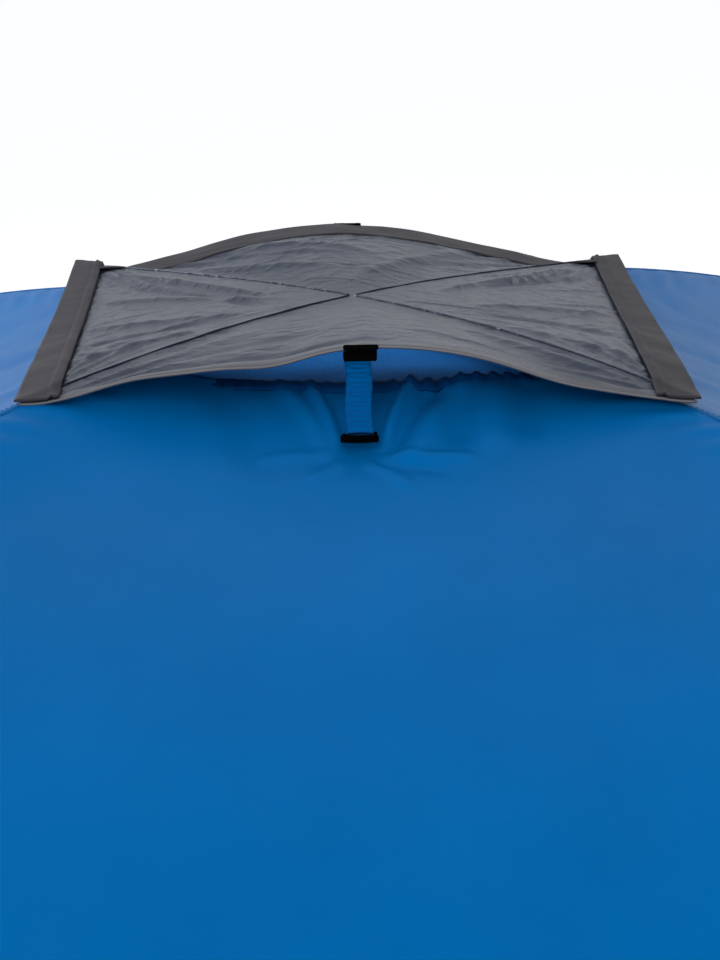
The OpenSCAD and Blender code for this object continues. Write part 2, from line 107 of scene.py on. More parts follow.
def turned(point, degrees):
    return Matrix.Rotation(math.radians(degrees), 3, "Z") @ Vector(point)


class Fold:
    """A crease between two points of a cloth, with its width and height."""

    def __init__(self, x0, y0, x1, y1, width, height, fade=0.35):
        self.start = (x0, y0)
        self.run = (x1 - x0, y1 - y0)
        self.length = math.hypot(*self.run)
        self.width, self.height, self.fade = width, height, fade

    def at(self, x, y):
        dx, dy = x - self.start[0], y - self.start[1]
        along = (dx * self.run[0] + dy * self.run[1]) / self.length**2
        if along < -0.3 or along > 1.3:
            return 0.0
        across = (dx * self.run[1] - dy * self.run[0]) / self.length
        if abs(across) > 3 * self.width:
            return 0.0
        ends = smooth((along + self.fade * 0.5) / self.fade)
        ends *= smooth((1 + self.fade * 0.5 - along) / self.fade)
        return self.height * ends * bell(across, self.width)


def folds_at(folds, x, y):
    return sum(f.at(x, y) for f in folds)


def fan(x, y, corner, heading, spread, count, reach, height, seed=0.0):
    """Tension folds that leave a corner between two headings and die out at reach."""
    dx, dy = x - corner[0], y - corner[1]
    far = math.hypot(dx, dy)
    if far > reach or far < 1e-6:
        return 0.0
    off = math.degrees(math.atan2(dy, dx)) - heading
    off = (off + 180) % 360 - 180
    if abs(off) > spread:
        return 0.0
    wander = 0.6 * grain(far, off * 0.002, 0.05, seed)
    wave = math.sin(math.pi * count * off / spread + wander + seed)
    shape = wave if wave > 0 else 0.35 * wave
    envelope = smooth(far / (0.25 * reach)) * (1 - smooth((far / reach - 0.3) / 0.7))
    return height * shape * envelope * (1 - smooth((abs(off) / spread - 0.6) / 0.4))


# ---- Camera, light and stage ----
CAMERA_AT = Vector((-0.026, -1.679, 1.653))
CAMERA_YAW = math.radians(-1.03)
CAMERA_PITCH = math.radians(15.76)
CAMERA_ROLL = math.radians(-0.60)
CAMERA_LENS = 91.92


def make_camera():
    data = bpy.data.cameras.new("camera")
    data.sensor_fit = "VERTICAL"
    data.sensor_height = 36
    data.lens = CAMERA_LENS
    data.clip_start = 0.05
    data.clip_end = 200
    camera = bpy.data.objects.new("camera", data)
    bpy.context.scene.collection.objects.link(camera)
    forward = Vector((-math.sin(CAMERA_YAW) * math.cos(CAMERA_PITCH),
                      math.cos(CAMERA_YAW) * math.cos(CAMERA_PITCH),
                      -math.sin(CAMERA_PITCH)))
    level = Vector((math.cos(CAMERA_YAW), math.sin(CAMERA_YAW), 0))
    up = level.cross(forward)
    side = math.cos(CAMERA_ROLL) * level + math.sin(CAMERA_ROLL) * up
    rolled_up = -math.sin(CAMERA_ROLL) * level + math.cos(CAMERA_ROLL) * up
    turn = Matrix((side, rolled_up, -forward)).transposed()
    camera.matrix_world = Matrix.Translation(CAMERA_AT) @ turn.to_4x4()
    bpy.context.scene.camera = camera


def make_light(name, at, aim, size, power, colour):
    data = bpy.data.lights.new(name, "AREA")
    data.shape = "RECTANGLE"
    data.size, data.size_y = size
    data.energy = power
    data.color = colour
    lamp = bpy.data.objects.new(name, data)
    lamp.location = at
    lamp.rotation_euler = (Vector(aim) - Vector(at)).to_track_quat("-Z", "Y").to_euler()
    bpy.context.scene.collection.objects.link(lamp)


CROWN_AIM = (0, 0, 1.2)
# Name, place, aim, size, power in watts, colour.
LAMPS = (
    ("key_softbox", (-1.3, -4.0, 3.5), CROWN_AIM, (3.0, 2.4), 58, (1, 0.985, 0.96)),
    ("back_left_softbox", (-4.2, 2.6, 3.0), (-0.4, 0, 1.1), (2.6, 2.2), 165, (0.86, 0.92, 1)),
    ("back_right_softbox", (3.6, 3.4, 3.4), CROWN_AIM, (2.2, 2.0), 14, (0.97, 0.98, 1)),
    ("under_hood_fill", (0, -0.06, 1.303), (0, -0.06, 1.2), (0.20, 0.08), 0.040, (0.75, 0.88, 1)),
    ("inside_glow", (0, 0.1, 0.7), (0, 0.2, 1.3), (0.9, 0.9), 9, (0.55, 0.8, 1)),
)


def make_studio():
    world = bpy.data.worlds.new("studio")
    world.use_nodes = True
    sky = world.node_tree.nodes["Background"]
    sky.inputs["Color"].default_value = (0.93, 0.96, 1.0, 1)
    sky.inputs["Strength"].default_value = 0.62
    bpy.context.scene.world = world
    for lamp in LAMPS:
        make_light(*lamp)
    floor_material = bpy.data.materials.new("stage_floor")
    floor_material.use_nodes = True
    paint = floor_material.node_tree.nodes["Principled BSDF"]
    paint.inputs["Base Color"].default_value = (0.9, 0.9, 0.9, 1)
    paint.inputs["Roughness"].default_value = 0.9
    paint.inputs["Emission Color"].default_value = (1, 1, 1, 1)
    paint.inputs["Emission Strength"].default_value = 0.45
    bpy.ops.mesh.primitive_plane_add(size=120, location=(0, 0, -0.0005))
    floor = bpy.context.object
    floor.name = "stage_floor"
    floor.data.materials.append(floor_material)
    bpy.context.scene.view_settings.view_transform = "Standard"


make_camera()
make_studio()


# ---- Materials ----
class Surface:
    """A material being built, its pattern laid on the cloth's map in metres or on the object."""

    def __init__(self, name, on_cloth=False):
        self.material = bpy.data.materials.new(name)
        self.material.use_nodes = True
        self.tree = self.material.node_tree
        self.shader = self.tree.nodes["Principled BSDF"]
        self.normal = None
        if on_cloth:
            self.where = self.node("ShaderNodeUVMap", uv_map="cloth").outputs["UV"]
        else:
            self.where = self.node("ShaderNodeTexCoord").outputs["Object"]

    def node(self, kind, inputs=None, links=None, **settings):
        made = self.tree.nodes.new(kind)
        for key, value in settings.items():
            setattr(made, key, value)
        for key, value in (inputs or {}).items():
            made.inputs[key].default_value = value
        for key, source in (links or {}).items():
            self.tree.links.new(source, made.inputs[key])
        return made

    def set(self, **values):
        for key, value in values.items():
            self.shader.inputs[key.replace("_", " ")].default_value = value

    def weave(self, pitch):
        """Height of a plain weave with the given thread pitch."""
        shape = {"Scale": math.pi / 10 / pitch, "Distortion": 0.6, "Detail Scale": 2.0}
        waves = [self.node("ShaderNodeTexWave", shape, {"Vector": self.where}, bands_direction=direction)
                 for direction in ("X", "Y")]
        links = {0: waves[0].outputs["Fac"], 1: waves[1].outputs["Fac"]}
        return self.node("ShaderNodeMath", links=links, operation="MULTIPLY").outputs[0]

    def clouds(self, scale, detail=4.0, stretch=None):
        """Soft noise, drawn out along an axis where a stretch is given."""
        where = self.where
        if stretch:
            where = self.node("ShaderNodeMapping", {"Scale": stretch}, {"Vector": where}).outputs[0]
        shape = {"Scale": scale, "Detail": detail}
        return self.node("ShaderNodeTexNoise", shape, {"Vector": where}).outputs["Fac"]

    def cells(self, shape, **settings):
        node = self.node("ShaderNodeTexVoronoi", shape, {"Vector": self.where}, **settings)
        return node.outputs["Distance"]

    def ramp(self, factor, *stops):
        node = self.node("ShaderNodeValToRGB", links={"Fac": factor})
        elements = node.color_ramp.elements
        while len(elements) < len(stops):
            elements.new(0.5)
        for element, (place, colour) in zip(elements, stops):
            element.position = place
            element.color = colour
        return node.outputs["Color"]

    def drive(self, socket, factor, *stops):
        """Feeds one input of the shader from a pattern through a ramp."""
        self.tree.links.new(self.ramp(factor, *stops), self.shader.inputs[socket])

    def bump(self, height, distance):
        """Adds relief, on top of any that is already there."""
        bump = self.node("ShaderNodeBump", {"Strength": 1.0, "Distance": distance}, {"Height": height})
        if self.normal:
            self.tree.links.new(self.normal, bump.inputs["Normal"])
        self.normal = bump.outputs["Normal"]
        self.tree.links.new(self.normal, self.shader.inputs["Normal"])


def shade(colour, factor):
    return tuple(min(1.0, c * factor) for c in colour) + (1,)


def grey(value):
    return (value, value, value, 1)


def coated_fabric(name, colour, roughness, mottle, gloss, tint=None, pitch=0.0006, wrinkle=0.0004,
                  wrinkle_scale=55, drawn=(1.0, 0.6, 1.0), crinkle=0.0):
    """Thin coated polyester: a fine weave, soft colour clouds and small wrinkles in its gloss."""
    cloth = Surface(name, on_cloth=True)
    cloth.drive("Base Color", cloth.clouds(7.0, 6.0),
                (0.3, shade(colour, 1 - mottle)), (0.7, shade(colour, 1 + mottle)))
    cloth.drive("Roughness", cloth.clouds(26.0, 5.0),
                (0.3, grey(roughness * 0.85)), (0.7, grey(roughness * 1.2)))
    cloth.bump(cloth.clouds(wrinkle_scale, 3.0, drawn), wrinkle)
    if crinkle:
        lines = cloth.ramp(cloth.clouds(30.0, 4.0, drawn), (0.43, grey(0)), (0.5, grey(1)), (0.57, grey(0)))
        cloth.bump(lines, crinkle)
    cloth.bump(cloth.weave(pitch), pitch * 0.06)
    cloth.set(Specular_IOR_Level=gloss)
    if tint:
        cloth.set(Specular_Tint=tint + (1,))
    return cloth.material


def webbing(name, colour, pitch=0.0016):
    """Woven strap: ribs that run along it, and a softer cross weave."""
    strap = Surface(name)
    weave = strap.weave(pitch)
    strap.drive("Base Color", weave, (0.0, shade(colour, 0.55)), (0.8, shade(colour, 1.5)))
    strap.bump(weave, pitch * 0.25)
    strap.set(Roughness=0.85, Specular_IOR_Level=0.25)
    return strap.material


def hook_and_loop(name):
    pile = Surface(name)
    dots = pile.cells({"Scale": 900})
    pile.drive("Base Color", dots, (0.0, grey(0.005)), (0.6, grey(0.001)))
    pile.bump(dots, 0.0006)
    pile.set(Roughness=0.95, Specular_IOR_Level=0.03)
    return pile.material


def moulded(name, colour, roughness=0.4, grain_size=450):
    """Plastic or thread with a fine grain and slight wear in its gloss."""
    plastic = Surface(name)
    speckle = plastic.clouds(grain_size, 2.0)
    plastic.drive("Base Color", speckle, (0.35, shade(colour, 0.88)), (0.65, shade(colour, 1.12)))
    plastic.drive("Roughness", plastic.clouds(40, 5.0),
                  (0.3, grey(roughness * 0.8)), (0.75, grey(min(1, roughness * 1.3))))
    plastic.bump(speckle, 0.00006)
    return plastic.material


def plated_steel(name, colour=(0.62, 0.62, 0.62), roughness=0.28):
    metal = Surface(name)
    brushed = metal.clouds(900, 3.0, (1, 1, 0.08))
    metal.drive("Base Color", brushed, (0.3, shade(colour, 0.85)), (0.7, shade(colour, 1.1)))
    metal.drive("Roughness", brushed, (0.3, grey(roughness * 0.8)), (0.7, grey(roughness * 1.4)))
    metal.set(Metallic=1.0)
    metal.bump(brushed, 0.00002)
    return metal.material


def glass_fibre(name):
    """Pultruded rod: long pale fibres under a smooth resin skin."""
    rod = Surface(name)
    fibres = rod.clouds(300, 4.0, (1, 1, 0.15))
    rod.drive("Base Color", fibres, (0.3, (0.5, 0.51, 0.48, 1)), (0.7, (0.72, 0.73, 0.69, 1)))
    rod.bump(fibres, 0.00005)
    rod.set(Roughness=0.32, Coat_Weight=0.3)
    return rod.material


def open_mesh(name, colour, cell=0.0016):
    """Net with see-through cells between its threads."""
    net = Surface(name, on_cloth=True)
    edge = net.cells({"Scale": 1 / cell, "Randomness": 0.1}, feature="DISTANCE_TO_EDGE")
    net.drive("Alpha", edge, (0.27, grey(1)), (0.36, grey(0)))
    net.drive("Base Color", edge, (0.0, shade(colour, 1.3)), (0.2, shade(colour, 0.7)))
    net.set(Roughness=0.8, Specular_IOR_Level=0.1)
    return net.material


def woven_film(name, colour):
    """Coated woven floor cloth: flat ribbons of about 2 mm under a glossy film."""
    film = Surface(name, on_cloth=True)
    scuffs = film.clouds(9.0, 8.0)
    film.drive("Base Color", scuffs, (0.3, shade(colour, 0.85)), (0.75, shade(colour, 1.25)))
    film.drive("Roughness", scuffs, (0.3, grey(0.38)), (0.7, grey(0.6)))
    film.bump(film.weave(0.0022), 0.00025)
    return film.material


BLUE = (0.0, 0.142, 0.43)
BLUE_GLOSS = (0.0, 0.30, 1.0)
HOOD_GLOSS = (0.72, 0.84, 1.0)
BLACK = (0.012, 0.012, 0.014)
# Name, colour, roughness, mottle, gloss, tint of the gloss, and other settings.
FABRICS = {
    "panel": ("panel_fabric", BLUE, 0.36, 0.06, 0.3, BLUE_GLOSS, {}),
    "sleeve": ("sleeve_fabric", (0.0, 0.130, 0.39), 0.42, 0.1, 0.25, BLUE_GLOSS, {}),
    "door": ("door_fabric", (0.0, 0.138, 0.42), 0.36, 0.07, 0.3, BLUE_GLOSS, {}),
    # Grey hood cloth; the blue cast of its base colour is partly a painted reflection of a blue sky.
    "hood": ("hood_fabric", (0.034, 0.039, 0.064), 0.22, 0.16, 0.6, HOOD_GLOSS,
             {"wrinkle": 0.0009, "wrinkle_scale": 80, "drawn": (0.7, 1.0, 1.0), "crinkle": 0.0005}),
    "band": ("band_fabric", (0.036, 0.032, 0.038), 0.5, 0.12, 0.18, None, {}),
    # Pale paint for the edge cords: the rolled edges are real, and their pale colour is a painted highlight
    # where they catch the light.
    "hem": ("hem_fabric", (0.19, 0.175, 0.175), 0.4, 0.1, 0.3, None, {}),
    "hem_fold": ("hem_fold_fabric", (0.095, 0.098, 0.115), 0.32, 0.1, 0.35, None, {}),
    # Near-black paint for two of the crease cords: painted shade in the hood's creases.
    "crease": ("crease_fabric", (0.008, 0.014, 0.032), 0.6, 0.2, 0.15, None, {}),
    "ridge": ("ridge_fabric", (0.0, 0.125, 0.38), 0.5, 0.12, 0.2, BLUE_GLOSS, {}),
    "seam": ("seam_binding", (0.002, 0.045, 0.17), 0.6, 0.2, 0.2, BLUE_GLOSS, {"pitch": 0.0009}),
    "strut": ("strut_fabric", (0.0, 0.085, 0.28), 0.4, 0.12, 0.3, BLUE_GLOSS, {"wrinkle": 0.0006}),
}
PAINT = {key: coated_fabric(*values, **more) for key, (*values, more) in FABRICS.items()}
PAINT.update({
    "mesh": open_mesh("vent_net", (0.015, 0.15, 0.42)),
    "tub": woven_film("tub_cloth", (0.052, 0.056, 0.066)),
    "webbing": webbing("webbing_weave", (0.014, 0.014, 0.015)),
    "hook": hook_and_loop("hook_and_loop_pile"),
    "plastic": moulded("moulded_plastic", (0.018, 0.018, 0.02)),
    "stiffener": moulded("stiffener_strip", (0.75, 0.75, 0.72), 0.5),
    "fibre": glass_fibre("fibreglass_rod"),
    "elastic": webbing("braided_elastic", (0.02, 0.02, 0.02), 0.0009),
    "steel": plated_steel("plated_steel"),
    "zip": moulded("zip_nylon", BLACK, 0.45, 900),
    "zip_tape": webbing("zip_tape_weave", BLACK, 0.0012),
    "zip_metal": plated_steel("painted_zinc", (0.05, 0.05, 0.055), 0.4),
    "thread_blue": moulded("blue_thread", (0.0, 0.10, 0.32), 0.6, 2500),
    "thread_dark": moulded("dark_thread", (0.03, 0.03, 0.038), 0.6, 2500),
    "thread_pale": moulded("pale_thread", (0.3, 0.32, 0.36), 0.6, 2500),
})


# ---- Mesh building ----
def new_piece(name, points, faces, paint, flat=None, thickness=0.0, offset=-1.0):
    """A smooth mesh with its cloth map in metres, made solid to its thickness."""
    mesh = bpy.data.meshes.new(name)
    mesh.from_pydata([tuple(p) for p in points], [], faces)
    mesh.update()
    if flat is not None:
        layer = mesh.uv_layers.new(name="cloth")
        loops = np.zeros(len(mesh.loops), np.int32)
        mesh.loops.foreach_get("vertex_index", loops)
        layer.data.foreach_set("uv", np.array(flat, np.float32)[loops].ravel())
    mesh.polygons.foreach_set("use_smooth", np.ones(len(mesh.polygons), bool))
    mesh.materials.append(PAINT[paint])
    piece = bpy.data.objects.new(name, mesh)
    bpy.context.scene.collection.objects.link(piece)
    if thickness:
        solid = piece.modifiers.new("thickness", "SOLIDIFY")
        solid.thickness = thickness
        solid.offset = offset
    return piece


def grid_faces(rows, columns, flip=False, closed=False):
    faces = []
    wrap = columns if closed else columns - 1
    for i in range(rows - 1):
        for j in range(wrap):
            k = (j + 1) % columns
            quad = (i * columns + j, (i + 1) * columns + j, (i + 1) * columns + k, i * columns + k)
            faces.append(quad[::-1] if flip else quad)
    return faces


def ring_faces(rows, ring, flip=False):
    """Faces of a closed sweep, with a face over each end."""
    faces = grid_faces(rows, ring, closed=True, flip=flip)
    faces.append(tuple(range(ring)))
    faces.append(tuple(range(rows * ring - 1, (rows - 1) * ring - 1, -1)))
    return faces


def fixed(piece, body, node=None):
    """Rides a piece on a body, in place of a CAD node where one is named."""
    if node:
        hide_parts(node)
    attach(piece, body)
    return piece


def stitch_line(name, path, normals, paint, body, pitch, width):
    """A row of raised stitches along a path of points on a cloth."""
    points, faces = [], []
    carried = 0.0
    for (a, b), up in zip(zip(path[:-1], path[1:]), normals):
        along = b - a
        length = along.length
        if length < 1e-7:
            continue
        along = along / length
        side = along.cross(up).normalized()
        place = carried
        while place < length:
            centre = a + along * place + up * 0.0002
            half = pitch * 0.36
            base = len(points)
            points.extend([centre - along * half, centre + side * width * 0.5,
                           centre + along * half, centre - side * width * 0.5,
                           centre + up * width * 0.55, centre - up * width * 0.4])
            for k in range(4):
                faces.append((base + k, base + (k + 1) % 4, base + 4))
                faces.append((base + (k + 1) % 4, base + k, base + 5))
            place += pitch
        carried = place - length
    fixed(new_piece(name, points, faces, paint), body)


UP = Vector((0, 0, 1))
CORD_SIDES = 8


def cord(name, path, radii, paint, squash=1.0):
    """A round or flattened cord swept along a path, with a radius for each point."""
    points, flat = [], []
    run = 0.0
    for i, centre in enumerate(path):
        before, after = path[max(0, i - 1)], path[min(len(path) - 1, i + 1)]
        along = (after - before).normalized()
        side = along.cross(UP).normalized()
        lift = side.cross(along).normalized()
        run += (centre - before).length if i else 0.0
        for k in range(CORD_SIDES):
            turn = 2 * math.pi * k / CORD_SIDES
            place = centre + side * math.cos(turn) * radii[i]
            points.append(place + lift * math.sin(turn) * radii[i] * squash)
            flat.append((radii[i] * turn, run))
    faces = ring_faces(len(path), CORD_SIDES)
    return new_piece(name, points, faces, paint, flat)


# ---- Shape of the tent ----
def arch(a):
    """Point (distance from the middle, height) of the mean pole line at an angle from the top."""
    if a <= JOINT_ANGLE:
        return ROOF_RADIUS * math.sin(a), CROWN - ROOF_RADIUS + ROOF_RADIUS * math.cos(a)
    return FOOT - SIDE_RADIUS * (1 - math.sin(a)), SIDE_RADIUS * math.cos(a)


def section_normal(a):
    normal = Vector((math.sqrt(2) * math.sin(a), math.cos(a)))
    return normal.normalized()


def section(a, lift=0.0):
    """Point (distance out, height) of the panels' section, lifted off the cloth."""
    u, z = arch(a)
    normal = section_normal(a)
    return u / math.sqrt(2) + lift * normal.x, z + lift * normal.y


def angle_at_height(z):
    if z < SIDE_RADIUS * math.cos(JOINT_ANGLE):
        return math.acos(z / SIDE_RADIUS)
    return math.acos((z - CROWN + ROOF_RADIUS) / ROOF_RADIUS)


def angle_at_out(y):
    return math.asin(y * math.sqrt(2) / ROOF_RADIUS)


VENT_ANGLE = angle_at_out(VENT_HALF)
PANEL_FOOT_ANGLE = angle_at_height(PANEL_FOOT_Z)


def on_side(x, a, lift=0.0):
    """Point on the front panel's cloth; the other sides are this one turned."""
    out, z = section(a, lift)
    return Vector((x, -out, z))


def normal_on_side(a):
    normal = section_normal(a)
    return Vector((0, -normal.x, normal.y))


def section_angles(a0, a1, count, crowding=0.0):
    """Angles down a panel, closer together near the first where crowding is set."""
    ends = []
    for i in range(count + 1):
        t = i / count
        ends.append(a0 + (a1 - a0) * mix(t, t * t, crowding))
    return ends


def run_lengths(angles):
    lengths = [0.0]
    for a, b in zip(angles[:-1], angles[1:]):
        p, q = section(a), section(b)
        lengths.append(lengths[-1] + math.hypot(q[0] - p[0], q[1] - p[1]))
    return lengths


# ---- Relief of the panels ----
STRUT_FOOT_OUT = 0.236
STRUT_FOOT_RUN = 0.0877
ROOF_FOLDS = {
    "front": [
        Fold(-0.030, 0.006, -0.012, 0.085, 0.0045, 0.0042),
        Fold(-0.048, 0.004, -0.016, 0.095, 0.0070, 0.0031),
        Fold(0.034, 0.002, 0.016, 0.080, 0.0040, 0.0050),
        Fold(0.052, 0.004, 0.020, 0.088, 0.0050, -0.0031),
        Fold(0.070, 0.002, 0.028, 0.100, 0.0080, 0.0036),
        Fold(0.055, 0.020, 0.062, 0.085, 0.0110, -0.0028),
        Fold(0.085, 0.006, 0.078, 0.090, 0.0120, 0.0034),
        Fold(0.110, 0.006, 0.104, 0.075, 0.0100, -0.0025),
        Fold(-0.085, 0.010, -0.060, 0.110, 0.0140, -0.0020),
        Fold(0.016, 0.096, 0.070, 0.102, 0.0030, 0.0028),
        Fold(0.014, 0.104, 0.052, 0.114, 0.0035, -0.0025),
        Fold(0.004, 0.102, 0.030, 0.128, 0.0040, 0.0022),
        Fold(-0.010, 0.102, -0.030, 0.122, 0.0045, 0.0020),
        Fold(-0.018, 0.094, -0.060, 0.098, 0.0040, 0.0017),
    ],
    "rear": [
        Fold(-0.036, 0.004, -0.014, 0.085, 0.0055, 0.0028),
        Fold(0.030, 0.004, 0.014, 0.082, 0.0050, 0.0030),
        Fold(0.064, 0.006, 0.024, 0.092, 0.0080, -0.0022),
        Fold(-0.075, 0.006, -0.030, 0.098, 0.0090, 0.0020),
        Fold(0.018, 0.098, 0.060, 0.104, 0.0035, 0.0016),
        Fold(-0.016, 0.100, -0.046, 0.116, 0.0040, 0.0014),
    ],
    "right": [
        Fold(-0.060, 0.010, -0.110, 0.230, 0.0160, 0.0022),
        Fold(0.050, 0.010, 0.020, 0.260, 0.0180, -0.0020),
    ],
    "left": [
        Fold(0.060, 0.010, 0.120, 0.240, 0.0160, 0.0024),
        Fold(-0.040, 0.010, -0.010, 0.250, 0.0180, -0.0018),
    ],
}


def tub_pull(x, run, whole, half):
    """Folds that leave the lower corners, where the cloth is pulled to the ground."""
    height = 0.0
    for side in (-1, 1):
        height += fan(x * side, whole - run, (-half, -0.05), 52, 36, 5, 0.62, 0.0042, side + 2.0)
    return height


def vent_ripple(x, seed):
    """Wave of the gathers that the vent's binding draws into the cloth."""
    return math.sin(2 * math.pi * x / 0.0105 + 2.5 * grain(x, 0, 0.03, seed + 3))


def hem_pucker(x, seed):
    return math.sin(2 * math.pi * x / 0.017 + 4 * grain(x, 0, 0.08, seed))


def panel_relief(side, x, run, whole, half, edge):
    """Height of the cloth off the plain section: sag, folds, gathers and seam puckers."""
    seed = TURNS[side] * 0.13
    pinned = smooth(edge / 0.05)
    ends = smooth(run / 0.16) * smooth((whole - run) / 0.25)
    across = 1 - min(1.0, (x / max(half, 1e-6)) ** 2)
    sag = 0.0 if side == "rear" else -0.013 * across * ends
    soft = 0.0016 * grain(x, run, 0.16, seed) + 0.0007 * grain(x, run * 0.7, 0.05, seed + 5)
    pull = tub_pull(x, run, whole, half)
    height = (sag + soft + pull) * pinned
    height += folds_at(ROOF_FOLDS[side], x, run)
    pucker = math.sin(2 * math.pi * run / 0.019 + 3 * grain(run, x, 0.09, seed + 8))
    height += 0.0009 * pucker * bell(edge - 0.020, 0.014) * smooth(run / 0.05)
    height += 0.0006 * hem_pucker(x, seed) * bell(whole - run, 0.03)
    if side in ("front", "rear"):
        gathers = 0.4 if x < 0.02 else 1.0
        ripple = vent_ripple(x, seed)
        height += 0.0007 * gathers * ripple * math.exp(-run / 0.018) * smooth((0.14 - abs(x)) / 0.03)
        dent = math.hypot((x - 0.002) / 0.034, (run - STRUT_FOOT_RUN) / 0.026)
        shoulder = math.hypot(x / 0.10, (run - STRUT_FOOT_RUN) / 0.075)
        height += 0.0042 * bell(shoulder, 1.0) - 0.0050 * bell(dent, 1.0)
    return height


DOOR_FADE = 0.05


def door_distance(x, z):
    """Signed distance from the door's outline in the cloth's X and Z, negative inside."""
    if z > SPRING_Z:
        return math.hypot(x, z - SPRING_Z) - DOOR_HALF
    beside = abs(x) - DOOR_HALF
    below = SILL_Z - z
    if beside > 0 and below > 0:
        return math.hypot(beside, below)
    return max(beside, below)


def panel_lift(side, x, a, run, whole, half):
    lift = panel_relief(side, x, run, whole, half, half - abs(x))
    if side == "rear":
        z = section(a)[1]
        lift *= smooth((abs(door_distance(x, z)) - 0.012) / DOOR_FADE)
    return lift


# Which pole lies under the left and right edge of each side, seen from outside.
EDGE_POLES = {"front": (1, -1), "right": (-1, 1), "rear": (1, -1), "left": (-1, 1)}
COVER_R = SLEEVE_R + 0.0009
COVER_FADE = 0.04


def pole_cover(side, x, a):
    """How far the cloth stands off the plain section where it runs over a pole's sleeve."""
    off = max(0.0, section(a)[0] - abs(x)) / math.sqrt(2)
    fall = math.sin(a)
    crest = COVER_R * fall / math.sqrt(1 + fall * fall)
    pole = EDGE_POLES[side][0 if x < 0 else 1] * POLE_LIFT * math.cos(a)
    if off < crest:
        return math.sqrt(COVER_R**2 - off**2) + off * fall + pole
    return (COVER_R * math.sqrt(1 + fall * fall) + pole) * bell(off - crest, COVER_FADE)


def cover_point(side, x, a, lift):
    """Point of the outer cloth: the plain section, its relief, and its rise over the poles."""
    level = math.sin(a) / math.sqrt(2)
    ridge = Vector((math.copysign(level, x), -level, math.cos(a)))
    return on_side(x, a) + normal_on_side(a) * lift + ridge * pole_cover(side, x, a)


EDGE_STEPS = (0.0, 0.003, 0.006, 0.009, 0.0125, 0.017, 0.023, 0.031, 0.042, 0.058)


def across_panel(half, columns):
    """Places across a panel, closer together over the poles at its edges."""
    middle = columns + 1 - 2 * len(EDGE_STEPS)
    inner = half - EDGE_STEPS[-1]
    places = [-half + step for step in EDGE_STEPS]
    places += [inner * (2 * (k + 1) / (middle + 1) - 1) for k in range(middle)]
    return places + [half - step for step in reversed(EDGE_STEPS)]


LIP_SLIDE = 0.013
LIP_REACH = 0.075


def lip_slide(side, x, run):
    """How far the slack edge of the vent has slipped down towards the strut."""
    if side not in ("front", "rear") or run > LIP_REACH:
        return 0.0
    return LIP_SLIDE * bell(x - 0.004, 0.080) * (1 - run / LIP_REACH) ** 1.5


def panel_grid(side, rows, columns, crowding):
    """Points, cloth map and plain heights of one panel, row by row from the vent down."""
    angles = section_angles(VENT_ANGLE, PANEL_FOOT_ANGLE, rows, crowding)
    runs = run_lengths(angles)
    whole = runs[-1]
    points, flat = [], []
    for a, run in zip(angles, runs):
        half = section(a)[0]
        for x in across_panel(half, columns):
            slid = a + lip_slide(side, x, run) * math.sqrt(2) / ROOF_RADIUS
            lift = panel_lift(side, x, a, run, whole, half)
            points.append(cover_point(side, x, slid, lift))
            flat.append((x, run))
    return points, flat


def plain_panel(side, rows, columns, crowding=0.55):
    points, flat = panel_grid(side, rows, columns, crowding)
    points = [turned(p, TURNS[side]) for p in points]
    faces = grid_faces(rows + 1, columns + 1)
    piece = new_piece("fabric_" + side, points, faces, "panel", flat, PANEL_T)
    fixed(piece, "tent", "panel_" + side)


def clip_grid(points, flat, faces, distance):
    """Cuts a grid along an outline: returns the part outside it and the part inside."""
    values = [distance(p) for p in points]
    points, flat = list(points), list(flat)
    cuts = {}

    def cut(i, j):
        key = (min(i, j), max(i, j))
        if key not in cuts:
            t = values[i] / (values[i] - values[j])
            cuts[key] = len(points)
            points.append(points[i].lerp(points[j], t))
            flat.append(tuple(mix(flat[i][k], flat[j][k], t) for k in (0, 1)))
        return cuts[key]

    parts = ([], [])
    for face in faces:
        for part, sign in zip(parts, (1, -1)):
            ring = []
            for i, j in zip(face, face[1:] + face[:1]):
                if values[i] * sign >= 0:
                    ring.append(i)
                if values[i] * values[j] < 0:
                    ring.append(cut(i, j))
            if len(ring) >= 3:
                part.append(tuple(ring))
    results = []
    for part in parts:
        used = sorted({i for face in part for i in face})
        index = {old: new for new, old in enumerate(used)}
        results.append(([points[i] for i in used], [flat[i] for i in used],
                        [tuple(index[i] for i in face) for face in part]))
    return results


def rear_panels():
    """The door side: the panel around the opening, and the door's own cloth in it."""
    rows, columns = 190, 190
    points, flat = panel_grid("rear", rows, columns, 0.25)
    faces = grid_faces(rows + 1, columns + 1)
    gap = 0.001
    outside = clip_grid(points, flat, faces, lambda p: door_distance(p.x, p.z) - gap)[0]
    inside = clip_grid(points, flat, faces, lambda p: door_distance(p.x, p.z) + gap)[1]
    pieces = []
    for name, part, paint, node in (("fabric_rear", outside, "panel", "panel_rear"),
                                    ("door_cloth", inside, "door", "door_panel")):
        part_points = [turned(p, TURNS["rear"]) for p in part[0]]
        piece = new_piece(name, part_points, part[2], paint, part[1], PANEL_T)
        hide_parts(node)
        pieces.append(piece)
    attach(pieces[0], "tent")
    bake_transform(pieces[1])


def panels():
    plain_panel("front", 230, 260, 0.7)
    plain_panel("left", 170, 190)
    plain_panel("right", 170, 190)
    rear_panels()


panels()

